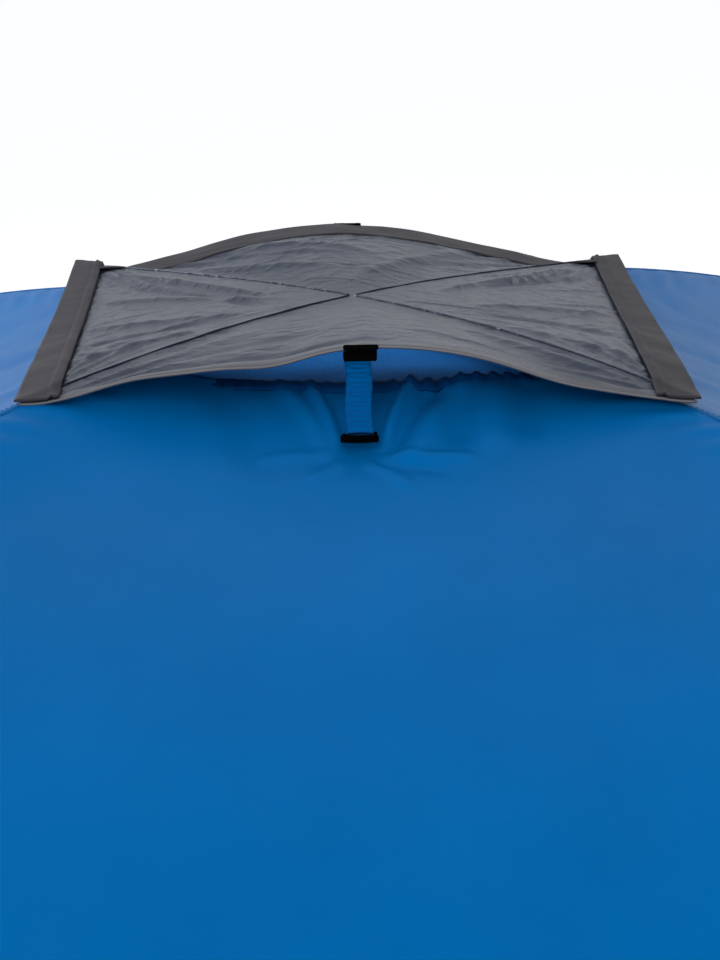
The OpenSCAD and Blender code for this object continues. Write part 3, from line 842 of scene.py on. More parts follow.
# ---- Hood ----
HOOD_FALL = HOOD_HALF**2 / ROOF_RADIUS
HOOD_FOLDS = {
    "front": [
        Fold(-0.150, -0.198, 0.010, -0.192, 0.0040, -0.0012),
        Fold(-0.185, -0.190, -0.060, -0.120, 0.0080, 0.0020),
        Fold(-0.150, -0.185, -0.030, -0.150, 0.0060, -0.0012),
        Fold(0.180, -0.188, 0.070, -0.110, 0.0080, 0.0018),
        Fold(0.150, -0.175, 0.040, -0.160, 0.0070, -0.0012),
        Fold(0.012, -0.060, 0.004, -0.200, 0.0080, 0.0014),
    ],
    "rear": [
        Fold(-0.160, 0.160, -0.020, 0.080, 0.0050, 0.0020),
        Fold(-0.130, 0.165, -0.010, 0.110, 0.0040, -0.0016),
        Fold(-0.080, 0.170, 0.010, 0.120, 0.0050, 0.0018),
        Fold(0.090, 0.170, 0.010, 0.060, 0.0060, 0.0016),
        Fold(0.150, 0.172, 0.050, 0.100, 0.0050, -0.0014),
    ],
    "left": [
        Fold(-0.182, -0.120, -0.110, -0.085, 0.0045, 0.0020),
        Fold(-0.182, -0.080, -0.100, -0.060, 0.0050, -0.0018),
        Fold(-0.182, -0.030, -0.080, -0.045, 0.0050, 0.0016),
        Fold(-0.175, 0.150, -0.060, 0.010, 0.0040, 0.0028),
        Fold(-0.170, 0.110, -0.070, -0.010, 0.0050, -0.0022),
        Fold(-0.178, 0.060, -0.060, 0.000, 0.0060, 0.0020),
    ],
    "right": [
        Fold(0.182, -0.130, 0.110, -0.090, 0.0050, 0.0018),
        Fold(0.182, -0.070, 0.090, -0.050, 0.0060, -0.0016),
        Fold(0.182, 0.000, 0.090, -0.020, 0.0060, 0.0018),
        Fold(0.178, 0.150, 0.070, 0.030, 0.0045, 0.0026),
        Fold(0.170, 0.110, 0.090, 0.050, 0.0050, -0.0020),
    ],
}


# How far each corner stands off the CAD's hood: the rear ones are propped up,
# and the front right one lies on the lower pole.
CORNER_LIFT = {(-1, -1): 0.0, (1, -1): -0.0045, (-1, 1): 0.0085, (1, 1): 0.0070}
# The propped hems peak a little off the middle, and the front one fills out to the left.
PEAK_X = {-1: 0.012, 1: -0.014}
HEM_BOWS = ((-0.052, 0.028, -0.0055), (-0.142, 0.034, 0.0050), (0.125, 0.036, -0.0042))


def hood_height(x, y, rise):
    s = max(abs(x), abs(y)) / HOOD_HALF
    r = abs(x) / abs(y) if abs(y) > abs(x) else 1.0
    half = -1 if y < 0 else 1
    corner = CORNER_LIFT[(-1 if x < 0 else 1, half)]
    share = min(1.0, abs(x * y) / HOOD_HALF**2)
    if half > 0 and r < 1.0:
        lifted = s**3.2 * smooth((r - 0.84) / 0.16)
    else:
        lifted = share ** (1.6 if half > 0 else 2)
    height = HOOD_TOP - HOOD_FALL * s * s + corner * lifted
    if r < 1.0 and abs(y) > 0:
        shift = PEAK_X[half] * (1 - r) / HOOD_HALF
        skewed = min(1.0, abs(x / abs(y) - shift))
        height += rise * s**1.2 * (1 - skewed * skewed) ** 2 * (1 if r < 0.9 else (1 - r) / 0.1)
    if half < 0 and r < 1.0:
        for centre, width, bow in HEM_BOWS:
            height += bow * s**3 * bell(x / s - centre, width) * smooth((1 - r) / 0.15)
    return height


# Long thin creases in each gore: heading in degrees, spacing, and share of the height.
STREAKS = {
    "front": (0.0005, ((8, 0.030, 0.6), (-14, 0.040, 0.5))),
    "left": (0.0009, ((-30, 0.020, 1.0), (22, 0.026, 0.8), (84, 0.022, 0.4))),
    "right": (0.0009, ((34, 0.020, 1.0), (-18, 0.026, 0.8), (88, 0.020, 0.5))),
    "rear": (0.0009, ((26, 0.020, 1.0), (-22, 0.022, 0.7), (4, 0.030, 0.4))),
}


def crumple(side, x, y, seed):
    """Uneven sharp creases of thin coated cloth, long along their heading."""
    height, streaks = STREAKS[side]
    total = 0.0
    for heading, spacing, share in streaks:
        c, s = math.cos(math.radians(heading)), math.sin(math.radians(heading))
        u, v = c * x + s * y, c * y - s * x
        here = smooth(0.45 + 1.6 * grain(u * 0.6, v, 0.07, seed + heading))
        line = 1 - min(1.0, abs(grain(u * 0.2, v, spacing, seed + heading * 0.1)) / 0.17)
        total += share * here * line**2
    return height * (total - 0.2)


def hood_relief(side, x, y):
    """Height of the hood's cloth off its plain shape, nothing along the creases."""
    along, across = (abs(y), abs(x)) if side in ("front", "rear") else (abs(x), abs(y))
    off_crease = max(0.0, along - across)
    free = smooth(off_crease / 0.03)
    if side in ("left", "right"):
        free *= smooth((HOOD_HALF - 0.0205 - along) / 0.010)
    if side == "rear":
        free *= mix(1.0, 0.25, smooth((along - HOOD_HALF + REAR_BAND + 0.004) / 0.012))
    seed = TURNS[side] * 0.31
    height = folds_at(HOOD_FOLDS[side], x, y) + crumple(side, x, y, seed)
    for corner in (-1, 1):
        cx = -HOOD_HALF if side == "left" else HOOD_HALF if side == "right" else corner * HOOD_HALF
        cy = -HOOD_HALF if side == "front" else HOOD_HALF if side == "rear" else corner * HOOD_HALF
        heading = math.degrees(math.atan2(-cy, -cx))
        toward = heading + (22 if corner * (1 if side in ("front", "right") else -1) > 0 else -22)
        count, rise = (3.5, 0.0012) if side == "front" else (6.0, 0.0015)
        height += fan(x, y, (cx, cy), toward, 24, count, 0.19, rise, seed + corner)
    return height * free


def gore_point(side, s, r):
    """Point of a gore at share s out from the crossing and r across it."""
    far = s * HOOD_HALF
    plan = {"front": (r * far, -far), "right": (far, r * far),
            "rear": (-r * far, far), "left": (-far, -r * far)}[side]
    x, y = plan
    rise = FRONT_RISE if side == "front" else REAR_RISE
    lift = hood_relief(side, x, y)
    return Vector((x, y, hood_height(x, y, rise) + lift))


def gore(side, outer, rows=104, columns=176):
    """Triangular quarter of the hood from the crossing out to a share of its half side."""
    points, flat = [gore_point(side, 0.0, 0.0)], [(0.0, 0.0)]
    for i in range(1, rows + 1):
        s = outer * i / rows
        for j in range(columns + 1):
            r = 2 * j / columns - 1
            points.append(gore_point(side, s, r))
            flat.append((r * s * HOOD_HALF, s * HOOD_HALF))
    faces = [(0, 1 + j, 2 + j) for j in range(columns)]
    for face in grid_faces(rows, columns + 1):
        faces.append(tuple(i + 1 for i in face))
    return points, flat, faces


def rear_strip(inner, outer, rows, columns, lift):
    """Strip of the rear gore between two distances from the crossing, lying just above it."""
    points, flat = [], []
    for i in range(rows + 1):
        far = mix(inner, outer, i / rows)
        for j in range(columns + 1):
            r = 2 * j / columns - 1
            across = r * max(HOOD_HALF, far)
            clamped = min(far / HOOD_HALF, 1.0)
            point = gore_point("rear", far / HOOD_HALF, max(-1.0, min(1.0, across / far)))
            wave = 0.0004 * math.sin(across / 0.011 + 3 * grain(across, far, 0.05, 4.0)) * clamped
            points.append(Vector((-across, far, point.z + lift + wave)))
            flat.append((across, far))
    return points, flat, grid_faces(rows + 1, columns + 1)


HINGE = Vector((0, 0, 1.311))


def hinge_blend(piece, side):
    """Bakes a propped piece's placement into its mesh; the line through the two corners and the crossing is
    worked out but not used.
    """
    out = -1 if side == "front" else 1
    corner = Vector((HOOD_HALF, out * HOOD_HALF, HOOD_TOP - HOOD_FALL - 0.003))
    across = Vector((1, 0, 0))
    down = (corner - HINGE).normalized()
    normal = across.cross(Vector((0, down.y, down.z)).normalized())
    if normal.z < 0:
        normal = -normal
    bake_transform(piece)


def hood_gores():
    side_reach = (HOOD_HALF - 0.015) / HOOD_HALF
    rear_reach = (HOOD_HALF - REAR_BAND + 0.004) / HOOD_HALF
    for side, outer, node in (("front", 1.0, "hood_flap_front"), ("rear", rear_reach, "hood_flap_rear"),
                              ("left", side_reach, "hood_gore_left"),
                              ("right", side_reach, "hood_gore_right")):
        points, flat, faces = gore(side, outer)
        piece = new_piece("hood_cloth_" + side, points, faces, "hood", flat, HOOD_T)
        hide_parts(node)
        if side in ("front", "rear"):
            hinge_blend(piece, side)
        else:
            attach(piece, "tent")


def side_band_width(y):
    """The side bands narrow towards the rear."""
    return mix(0.0255, 0.0200, 0.5 + 0.5 * y / HOOD_HALF)


def side_band_point(sgn, t, y, lift):
    """Point of a side band at share t from its inner seam to its outer edge."""
    outer = HOOD_HALF + 0.002
    far = mix(HOOD_HALF - side_band_width(y), outer, t)
    rise = REAR_RISE if y > 0 else FRONT_RISE
    level = hood_height(sgn * min(far, HOOD_HALF), max(-HOOD_HALF, min(HOOD_HALF, y)), rise)
    wave = 0.0005 * math.sin(y / 0.013 + 3 * grain(far, y, 0.05, 4.0)) + 0.0006 * grain(far, y, 0.02, 6.0)
    return Vector((sgn * far, y, level + lift + wave * 0.6))


PIPING_R = 0.0007


def hood_bands():
    rows, columns = 12, 180
    reach = HOOD_HALF + 0.0015
    for side, sgn in (("left", -1), ("right", 1)):
        points, flat = [], []
        for i in range(rows + 1):
            t = i / rows
            for j in range(columns + 1):
                y = reach * (2 * j / columns - 1)
                seam = 0.0012 * bell(t - 0.17, 0.05) - 0.0004 * bell(t - 0.26, 0.05)
                points.append(side_band_point(sgn, t, y, 0.0016 + seam))
                flat.append((t * SIDE_BAND, y))
        faces = grid_faces(rows + 1, columns + 1, flip=sgn > 0)
        piece = new_piece("hood_side_band_" + side, points, faces, "band", flat, SIDE_BAND_T)
        fixed(piece, "tent", "hood_band_" + side)
        # Piping along the band's inner seam, coloured pale as a painted highlight.
        path = [side_band_point(sgn, 0.05, reach * (j / 80 - 1) * 0.975, 0.0020) for j in range(161)]
        fixed(cord("hood_piping_" + side, path, [PIPING_R] * 161, "hem"), "tent")
        for t in (0.28, 0.90):
            path = [side_band_point(sgn, t, reach * (j / 80 - 1) * 0.99, 0.0018) for j in range(161)]
            stitch_line("band_stitches_%s_%d" % (side, t * 100), path, [UP] * 160,
                        "thread_dark", "tent", 0.0030, 0.0006)
    points, flat, faces = rear_strip(HOOD_HALF - REAR_BAND, HOOD_HALF + 0.002, 12, 150, 0.0006)
    inside = HOOD_HALF - SIDE_BAND
    keep = [f for f in faces if max(abs(points[i].x) for i in f) < inside + 0.010]
    piece = new_piece("hood_rear_band", points, keep, "band", flat, REAR_BAND_T)
    remove_loose(piece)
    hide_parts("hood_band_rear")
    hinge_blend(piece, "rear")


def remove_loose(piece):
    """Deletes points that no face uses."""
    mesh = piece.data
    used = {v for face in mesh.polygons for v in face.vertices}
    work = bmesh.new()
    work.from_mesh(mesh)
    work.verts.ensure_lookup_table()
    bmesh.ops.delete(work, geom=[v for v in work.verts if v.index not in used], context="VERTS")
    work.to_mesh(mesh)
    work.free()


def front_hem():
    """Folded hem along the propped front edge, with its rolled lip."""
    columns = 170
    points, flat = [], []
    profile = ((-0.010, 0.0004), (-0.0095, 0.0009), (-0.005, 0.0009), (-0.001, 0.0010),
               (0.0006, 0.0006), (0.0008, -0.0004), (0.0, -0.0012), (-0.002, -0.0014))
    for i, (inset, lift) in enumerate(profile):
        for j in range(columns + 1):
            r = 2 * j / columns - 1
            point = gore_point("front", 1.0 + inset / HOOD_HALF, r * 0.995)
            points.append(point + Vector((0, 0, lift)))
            flat.append((r * HOOD_HALF, i * 0.003))
    faces = grid_faces(len(profile), columns + 1)
    piece = new_piece("hood_front_hem", points, faces, "hem_fold", flat)
    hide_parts("hood_hem_front")
    hinge_blend(piece, "front")
    # Rolled front edge, coloured pale as a painted highlight along it.
    path = [gore_point("front", 1.0 + 0.0004 / HOOD_HALF, 0.99 * (j / 100 - 1)) + Vector((0, 0, 0.0001))
            for j in range(201)]
    bead = cord("hood_front_edge", path, [PIPING_R] * 201, "hem")
    hinge_blend(bead, "front")


hood_gores()
hood_bands()
front_hem()


# Name, signs of X and Y, paint, slot, radius.
CREASES = (
    # The front left and rear right cords are real pinched seams coloured near-black as painted crease
    # shade; the other two take the hood's colour.
    ("front_left", -1, -1, "crease", "seam_navy", 0.0010),
    ("front_right", 1, -1, "hood", "hood_gray", 0.0012),
    ("rear_left", -1, 1, "hood", "hood_gray", 0.0010),
    ("rear_right", 1, 1, "crease", "seam_navy", 0.0007),
)


def crease_seams():
    """Pinched seams over the poles, from the crossing to the hood's corners; two of them are coloured
    near-black as painted shade in the crease.
    """
    for name, sx, sy, paint, slot, radius in CREASES:
        path, radii = [], []
        for i in range(121):
            far = (HOOD_HALF - 0.024) * mix(0.012, 1.0, i / 120)
            wobble = 0.0007 * grain(far, sx, 0.02, sy + 3.0)
            x, y = sx * far + wobble, sy * far - wobble
            height = hood_height(x, y, REAR_RISE if y > 0 else FRONT_RISE)
            path.append(Vector((x, y, height + 0.0002)))
            radii.append(radius * (0.75 + 0.45 * grain(far, sy, 0.018, sx + 9.0)))
        fixed(cord("hood_crease_" + name, path, radii, paint, 0.8), "tent")


crease_seams()


# ---- Sleeves over the poles ----
def pole_top(pole):
    return CROWN + (POLE_LIFT if pole == "upper" else -POLE_LIFT)


def pole_line(pole, s_from, foot_s, step):
    """Points from near the crown down to near a foot, in the pole's own plane."""
    top = pole_top(pole)
    side = (FOOT**2 + (ROOF_RADIUS - top) ** 2 - ROOF_RADIUS**2) / (2 * (FOOT - ROOF_RADIUS))
    joint = math.atan2(FOOT - side, ROOF_RADIUS - top)
    roof_len, side_len = ROOF_RADIUS * joint, side * (math.pi / 2 - joint)
    whole = roof_len + side_len - foot_s
    count = int((whole - s_from) / step)
    line = []
    for i in range(count + 1):
        s = mix(s_from, whole, i / count)
        if s <= roof_len:
            a = s / ROOF_RADIUS
            out, z = ROOF_RADIUS * math.sin(a), top - ROOF_RADIUS * (1 - math.cos(a))
        else:
            a = joint + (s - roof_len) / side
            out, z = FOOT - side * (1 - math.sin(a)), side * math.cos(a)
        line.append((s, Vector((out, 0, z)), Vector((math.sin(a), 0, math.cos(a)))))
    return line


ACROSS_POLE = Vector((0, 1, 0))
POLES = {"front_right": ("lower", -45), "rear_left": ("lower", 135),
         "front_left": ("upper", 225), "rear_right": ("upper", 45)}


def sleeves():
    sides = 16
    for name, (pole, heading) in POLES.items():
        line = pole_line(pole, 0.236, 0.113, 0.0045)
        seed = heading * 0.07
        points, flat = [], []
        for s, centre, out in line:
            mouth = smooth((s - line[0][0]) / 0.012) * smooth((line[-1][0] - s) / 0.012)
            for k in range(sides):
                turn = 2 * math.pi * k / sides
                gather = math.sin(2 * math.pi * s / 0.017 + 2.2 * grain(s, k * 0.3, 0.06, seed))
                ripple = 0.00045 * gather * (0.4 + 0.6 * abs(math.cos(turn)))
                crease = 0.0005 * grain(s, turn * 0.02, 0.012, seed + 2)
                radius = SLEEVE_R + (ripple + crease) * mouth + 0.0003 * (1 - mouth)
                point = centre + out * math.sin(turn) * radius + ACROSS_POLE * math.cos(turn) * radius
                points.append(turned(point, heading))
                flat.append((SLEEVE_R * turn, s))
        faces = grid_faces(len(line), sides, closed=True)
        piece = new_piece("pole_sleeve_" + name, points, faces, "sleeve", flat, PANEL_T)
        fixed(piece, "tent", "sleeve_" + name)
        ridge_seam(name, line, heading)


RIDGE_SEAM_START = HOOD_HALF * math.sqrt(2) - 0.004


def ridge_seam(name, line, heading):
    """Folded seam where two panels meet over a sleeve, with a stitch row on each side."""
    crest = COVER_R + 0.0004
    line = [station for station in line if station[0] > RIDGE_SEAM_START]
    points, flat = [], []
    for s, centre, out in line:
        for k in range(-3, 4):
            turn = k * 0.19
            edge = -0.0006 if abs(k) == 3 else 0.0002 * grain(s, k, 0.01, heading)
            reach = crest + edge
            place = centre + out * reach * math.cos(turn) + ACROSS_POLE * reach * math.sin(turn)
            points.append(turned(place, heading))
            flat.append((turn * crest, s))
    faces = grid_faces(len(line), 7, flip=True)
    fixed(new_piece("ridge_seam_" + name, points, faces, "ridge", flat), "tent")
    for flank in (-1, 1):
        turn = flank * 0.40
        path = [turned(c + o * crest * math.cos(turn) + ACROSS_POLE * crest * math.sin(turn), heading)
                for s, c, o in line]
        normals = [turned(o, heading) for s, c, o in line]
        stitch_line("ridge_stitches_%s_%s" % (name, "left" if flank < 0 else "right"), path, normals,
                    "thread_blue", "tent", 0.0042, 0.0005)


sleeves()


# ---- Roof vent ----
def vent_net():
    """Net over the roof opening, drawn down a little between its seams."""
    half = VENT_HALF - 0.0045
    count = 60
    depth = VENT_HALF - 0.138
    points, flat = [], []
    for i in range(count + 1):
        for j in range(count + 1):
            x, y = half * (2 * i / count - 1), half * (2 * j / count - 1)
            far = max(abs(x), abs(y))
            z = section(angle_at_out(far), -depth - 0.0005)[1]
            z += 0.0008 * grain(x, y, 0.03, 7.0)
            points.append(Vector((x, y, z)))
            flat.append((x, y))
    faces = grid_faces(count + 1, count + 1, flip=True)
    piece = new_piece("vent_netting", points, faces, "mesh", flat, 0.0004)
    fixed(piece, "tent", "vent_mesh")


def vent_lip():
    """Bound edge of the roof opening: a folded band that hangs to the net, gathered on one half."""
    # Distance out from the vent's edge, and lift off the cloth.
    profile = ((0.0145, 0.0014), (0.0140, 0.0024), (0.0080, 0.0030), (0.0020, 0.0034),
               (-0.0010, 0.0030), (-0.0022, 0.0012), (-0.0026, -0.0040), (-0.0030, -0.0110))
    columns = 230
    top_z = section(VENT_ANGLE)[1]
    slope = section_normal(angle_at_out(VENT_HALF + 0.007))
    whole = run_lengths(section_angles(VENT_ANGLE, PANEL_FOOT_ANGLE, 60))[-1]
    for side, turn in TURNS.items():
        half = VENT_HALF - PANEL_BACK - 0.001
        points, flat = [], []
        seed = turn * 0.2 + 1.0
        for i, (out, lift) in enumerate(profile):
            for j in range(columns + 1):
                x = half * (2 * j / columns - 1)
                gathers = 0.35 if x < 0.02 else 1.0
                ripple = vent_ripple(x, turn * 0.13)
                small = math.sin(2 * math.pi * x / 0.0047 + 3.0 * grain(x, i * 0.01, 0.02, seed))
                wave = (0.00045 * ripple + 0.0003 * small) * gathers * smooth((half - abs(x)) / 0.02)
                if out > 0:
                    out = profile[i][0] * mix(0.4, 1.0, bell(x - 0.004, 0.09))
                    wave += panel_relief(side, x, out, whole, VENT_HALF, VENT_HALF - abs(x))
                slid = out + lip_slide(side, x, 0.0)
                z = top_z - max(slid, 0.0) * slope.x / slope.y + lift + wave * (0.5 + 0.5 * (i > 1))
                points.append(turned((x, -VENT_HALF - slid + 0.6 * wave * (i in (0, 1)), z), turn))
                flat.append((x, i * 0.004))
        faces = grid_faces(len(profile), columns + 1, flip=True)
        piece = new_piece("vent_binding_" + side, points, faces, "seam", flat, 0.0007)
        fixed(piece, "tent", "vent_lip" if side == "front" else None)


vent_net()
vent_lip()


# ---- Struts ----
def strut_frame(side):
    """Middle, length and axes of a strut, from its CAD solid."""
    low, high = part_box("strut_sleeve_" + side)
    out = -1 if side == "front" else 1
    inner_y, outer_y = (high.y, low.y) if side == "front" else (low.y, high.y)
    run, rise = abs(outer_y - inner_y), high.z - low.z
    lean = math.atan2(STRUT_FOOT_OUT - 0.2, rise - 0.001)
    up = Vector((0, -out * math.sin(lean), math.cos(lean)))
    outward = Vector((0, out * math.cos(lean), math.sin(lean)))
    centre = Vector((0, (inner_y + outer_y) / 2, (low.z + high.z) / 2)) - up * 0.001
    return centre, math.hypot(rise, run) - 0.0025, up, outward, out


def strut(side):
    """Flat fabric sleeve around its stiffener: wrinkled in chevrons, with stitched edges."""
    centre, length, up, outward, out = strut_frame(side)
    rows, ring = 110, 36
    half_w, half_t = STRUT_W / 2, 0.0019
    points, flat = [], []
    for i in range(rows + 1):
        v = (i / rows - 0.5) * length
        for k in range(ring):
            turn = 2 * math.pi * k / ring
            c, s = math.cos(turn), math.sin(turn)
            x = half_w * math.copysign(abs(c) ** 0.35, c)
            t = half_t * math.copysign(abs(s) ** 0.6, s)
            inside = 1 - min(1.0, (abs(x) / half_w) ** 6)
            phase = (v - 0.85 * abs(x)) / (length / 8.0)
            chevron = 0.0013 * (1 - abs(((phase * 2) % 2) - 1) * 2) * inside
            chevron *= smooth((length / 2 - v) / 0.014)
            crumpled = 0.0004 * grain(x, v, 0.006, 3.0 + out) * inside
            edge_roll = -0.0007 * bell(abs(x) - half_w * 0.80, 0.0012)
            relief = (chevron + crumpled + edge_roll) * (1 if s > 0 else 0.6)
            t += math.copysign(relief, s) if abs(s) > 0.2 else 0.0
            wander = 0.0004 * math.sin(v / 0.006)
            points.append(centre + Vector((x + wander * (abs(c) > 0.8), 0, 0)) + up * v + outward * t)
            flat.append((x + (0.03 if s < 0 else 0), v))
    faces = ring_faces(rows + 1, ring, flip=out < 0)
    piece = new_piece("strut_cover_" + side, points, faces, "strut", flat)
    fixed(piece, side + "_strut", "strut_sleeve_" + side)
    for edge in (-1, 1):
        path = [centre + Vector((edge * half_w * 0.80, 0, 0)) + up * ((i / 40 - 0.5) * length * 0.96)
                + outward * (half_t - 0.0006) for i in range(41)]
        stitch_line("strut_stitches_%s_%s" % (side, "left" if edge < 0 else "right"), path, [outward] * 40,
                    "thread_dark", side + "_strut", 0.0028, 0.0006)


ACROSS_STRUT = Vector((1, 0, 0))


def soft_tab(name, centre, along, normal, width, height, body, bow, tilt=0.0, node=None):
    """Cut piece of tape with rounded corners, slightly bowed and uneven."""
    columns, rows = 40, 12
    points, flat = [], []
    for i in range(rows + 1):
        v = i / rows - 0.5
        for j in range(columns + 1):
            u = 2 * j / columns - 1
            round_off = 1 - 0.10 * max(0.0, abs(v) * 2 - 0.7) / 0.3
            curve = bow * (u * u - 0.4) + 0.0002 * grain(u * 0.02, v * 0.01, 0.006, width)
            place = centre + ACROSS_STRUT * (u * width / 2 * round_off)
            points.append(place + along * (v * height + tilt * u) + normal * curve)
            flat.append((u * width / 2, v * height))
    faces = grid_faces(rows + 1, columns + 1, flip=True)
    fixed(new_piece(name, points, faces, "hook", flat, 0.0010, 0.0), body, node)


def strut_tabs(side):
    """Hook tab at the strut's foot, its patch on the panel, and the tab at the hem."""
    out = -1 if side == "front" else 1
    normal = normal_on_side(angle_at_out(STRUT_FOOT_OUT))
    if out > 0:
        normal = Vector((normal.x, -normal.y, normal.z))
    downhill = Vector((0, out, 0)) - normal * normal.y * out
    downhill.normalize()
    low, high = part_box("strut_hook_tab_" + side)
    soft_tab("foot_tab_" + side, (low + high) / 2 + normal * 0.0012, downhill, normal, TAB_W, 0.0056,
             side + "_strut", 0.0014, 0.0009 * out, "strut_hook_tab_" + side)
    low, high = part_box("loop_patch_" + side)
    soft_tab("foot_patch_" + side, (low + high) / 2 - normal * 0.0001, downhill, normal, TAB_W + 0.002,
             0.0080, "tent", 0.0004, node="loop_patch_" + side)
    # Both tabs hang just under the edge of their hem, the front one a little to the right.
    low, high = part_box("hem_tab_" + side)
    hem = (low + high) / 2
    hem += Vector((0.0017 if out < 0 else 0, out * 0.0006, -0.0010 if out < 0 else -0.0015))
    soft_tab("hem_tape_" + side, hem, UP, Vector((0, out, 0)), TAB_W, 0.0034 if out < 0 else 0.0024,
             side + "_flap", -0.0006, node="hem_tab_" + side)
    # The strut's own head is bound in the same tape, just under the hem.
    centre, length, up, outward, out = strut_frame(side)
    head = centre + up * (length / 2 + 0.0003) + outward * 0.0028 + Vector((0.0014, 0, 0))
    soft_tab("strut_head_" + side, head, up, outward, TAB_W - 0.0006, 0.0086,
             side + "_strut", -0.0004)


for strut_side in ("front", "rear"):
    strut(strut_side)
    strut_tabs(strut_side)


# ---- Floor and tub ----
def behind_pole(point, a):
    """The tub's corners are cut off flat just inside the poles."""
    x, y, z = point
    limit = arch(a)[0] - SLEEVE_R - 0.0042
    reach = (abs(x) + abs(y)) / math.sqrt(2)
    if reach <= limit:
        return point
    back = (reach - limit) / math.sqrt(2)
    return Vector((x - math.copysign(back, x), y - math.copysign(back, y), z))


def tub_walls():
    rows, columns = 14, 200
    low_a, high_a = angle_at_height(0.0016), angle_at_height(TUB_TOP_Z)
    for side, turn in TURNS.items():
        points, flat = [], []
        for i in range(rows + 1):
            a = mix(high_a, low_a, i / rows)
            half = section(a)[0] - 0.0001
            for x in across_panel(half, columns):
                free = smooth((i / rows) / 0.3) * smooth((1 - i / rows) / 0.2)
                free *= smooth((half - abs(x)) / 0.05)
                dent = -0.0022 * abs(grain(x, i * 0.01, 0.07, turn + 2.0))
                dent -= 0.001 * abs(grain(x, i * 0.008, 0.02, turn))
                point = on_side(x, a, -0.0019) + normal_on_side(a) * dent * free
                points.append(turned(behind_pole(point, a), turn))
                flat.append((x, i * TUB_TOP_Z / rows))
        faces = grid_faces(rows + 1, columns + 1)
        piece = new_piece("tub_side_" + side, points, faces, "tub", flat, 0.0009)
        fixed(piece, "tent", "tub_wall_" + side)
        hem_tape(side, turn)


def hem_tape(side, turn):
    """Bound lower hem of a panel, over the tub's top edge."""
    columns = 260
    profile = ((0.131, 0.0004), (0.130, 0.0010), (0.1185, 0.0010), (0.1135, 0.0008), (0.1125, 0.0))
    points, flat = [], []
    for i, (z, lift) in enumerate(profile):
        a = angle_at_height(z)
        half = section(a)[0]
        for x in across_panel(half, columns):
            pucker = 0.0006 * hem_pucker(x, turn * 0.13)
            fade = smooth((half - abs(x) - 0.005) / 0.03)
            point = cover_point(side, x, a, lift + 0.0004 + (pucker + 0.0008) * fade)
            points.append(turned(point, turn))
            flat.append((x, i * 0.006))
    faces = grid_faces(len(profile), columns + 1)
    fixed(new_piece("hem_binding_" + side, points, faces, "seam", flat, BINDING_T), "tent")
    a = angle_at_height(0.127)
    half = section(a)[0] - PANEL_BACK - 0.004
    path = [turned(on_side(half * (j / 120 - 1), a, 0.0026), turn) for j in range(241)]
    normals = [turned(normal_on_side(a), turn)] * 240
    stitch_line("hem_stitches_" + side, path, normals, "thread_blue", "tent", 0.0045, 0.0007)


def ground_sheet():
    """Floor cloth, flat where it rests and slightly rumpled above."""
    low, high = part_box("floor_sheet")
    half = high.x
    chamfer = FOOT - SLEEVE_R - 0.004
    count = 150
    points, flat = [], []
    for i in range(count + 1):
        for j in range(count + 1):
            x, y = half * (2 * i / count - 1), half * (2 * j / count - 1)
            reach = (abs(x) + abs(y)) / math.sqrt(2)
            if reach > chamfer:
                x, y = x * chamfer / reach, y * chamfer / reach
            free = smooth((half - max(abs(x), abs(y))) / 0.05)
            rumple = 0.0016 * max(0.0, grain(x, y, 0.12, 2.0))
            rumple += 0.0006 * max(0.0, grain(x, y, 0.03, 5.0))
            points.append(Vector((x, y, high.z - 0.0001 + rumple * free)))
            flat.append((x, y))
    faces = grid_faces(count + 1, count + 1, flip=True)
    piece = new_piece("floor_cloth", points, faces, "tub", flat, high.z - low.z - 0.0002)
    fixed(piece, "tent", "floor_sheet")


tub_walls()
ground_sheet()


# ---- Door zip ----
def door_outline(step=0.004):
    """Points (x, z, outward x, outward z) along the zip from one end of the sill to the other."""
    line = []
    straight = SPRING_Z - SILL_Z - 0.006
    count = int(straight / step)
    for i in range(count):
        line.append((DOOR_HALF, SILL_Z + 0.006 + straight * i / count, 1, 0))
    turns = int(math.pi * DOOR_HALF / step)
    for i in range(turns + 1):
        c, s = math.cos(math.pi * i / turns), math.sin(math.pi * i / turns)
        line.append((DOOR_HALF * c, SPRING_Z + DOOR_HALF * s, c, s))
    for i in range(1, count + 1):
        line.append((-DOOR_HALF, SPRING_Z - straight * i / count, -1, 0))
    return line


def on_door(x, z, lift):
    """Point of the rear cloth at an X and height; the rear side mirrors Y of the front."""
    p = on_side(x, angle_at_height(z), lift)
    return Vector((x, -p.y, p.z))


def zip_ribbon(name, offsets, body, node):
    """Woven tape of one zip half, its profile given as distances out and lifts."""
    line = door_outline()
    points, flat = [], []
    run = 0.0
    for i, (x, z, nx, nz) in enumerate(line):
        if i:
            run += math.hypot(x - line[i - 1][0], z - line[i - 1][1])
        for offset, lift in offsets:
            points.append(on_door(x + nx * offset, z + nz * offset, lift))
            flat.append((offset, run))
    faces = grid_faces(len(line), len(offsets), flip=offsets[0][0] > offsets[-1][0])
    fixed(new_piece(name, points, faces, "zip_tape", flat, BINDING_T), body, node)


# Profile of a tooth over the middle line: distance out, underside and top.
TOOTH = ((-0.0006, 0.0006, 0.0016), (0.0004, 0.0004, 0.0022),
         (0.0020, 0.0004, 0.0022), (0.0028, 0.0006, 0.0014))
TOOTH_HALF = 0.00055


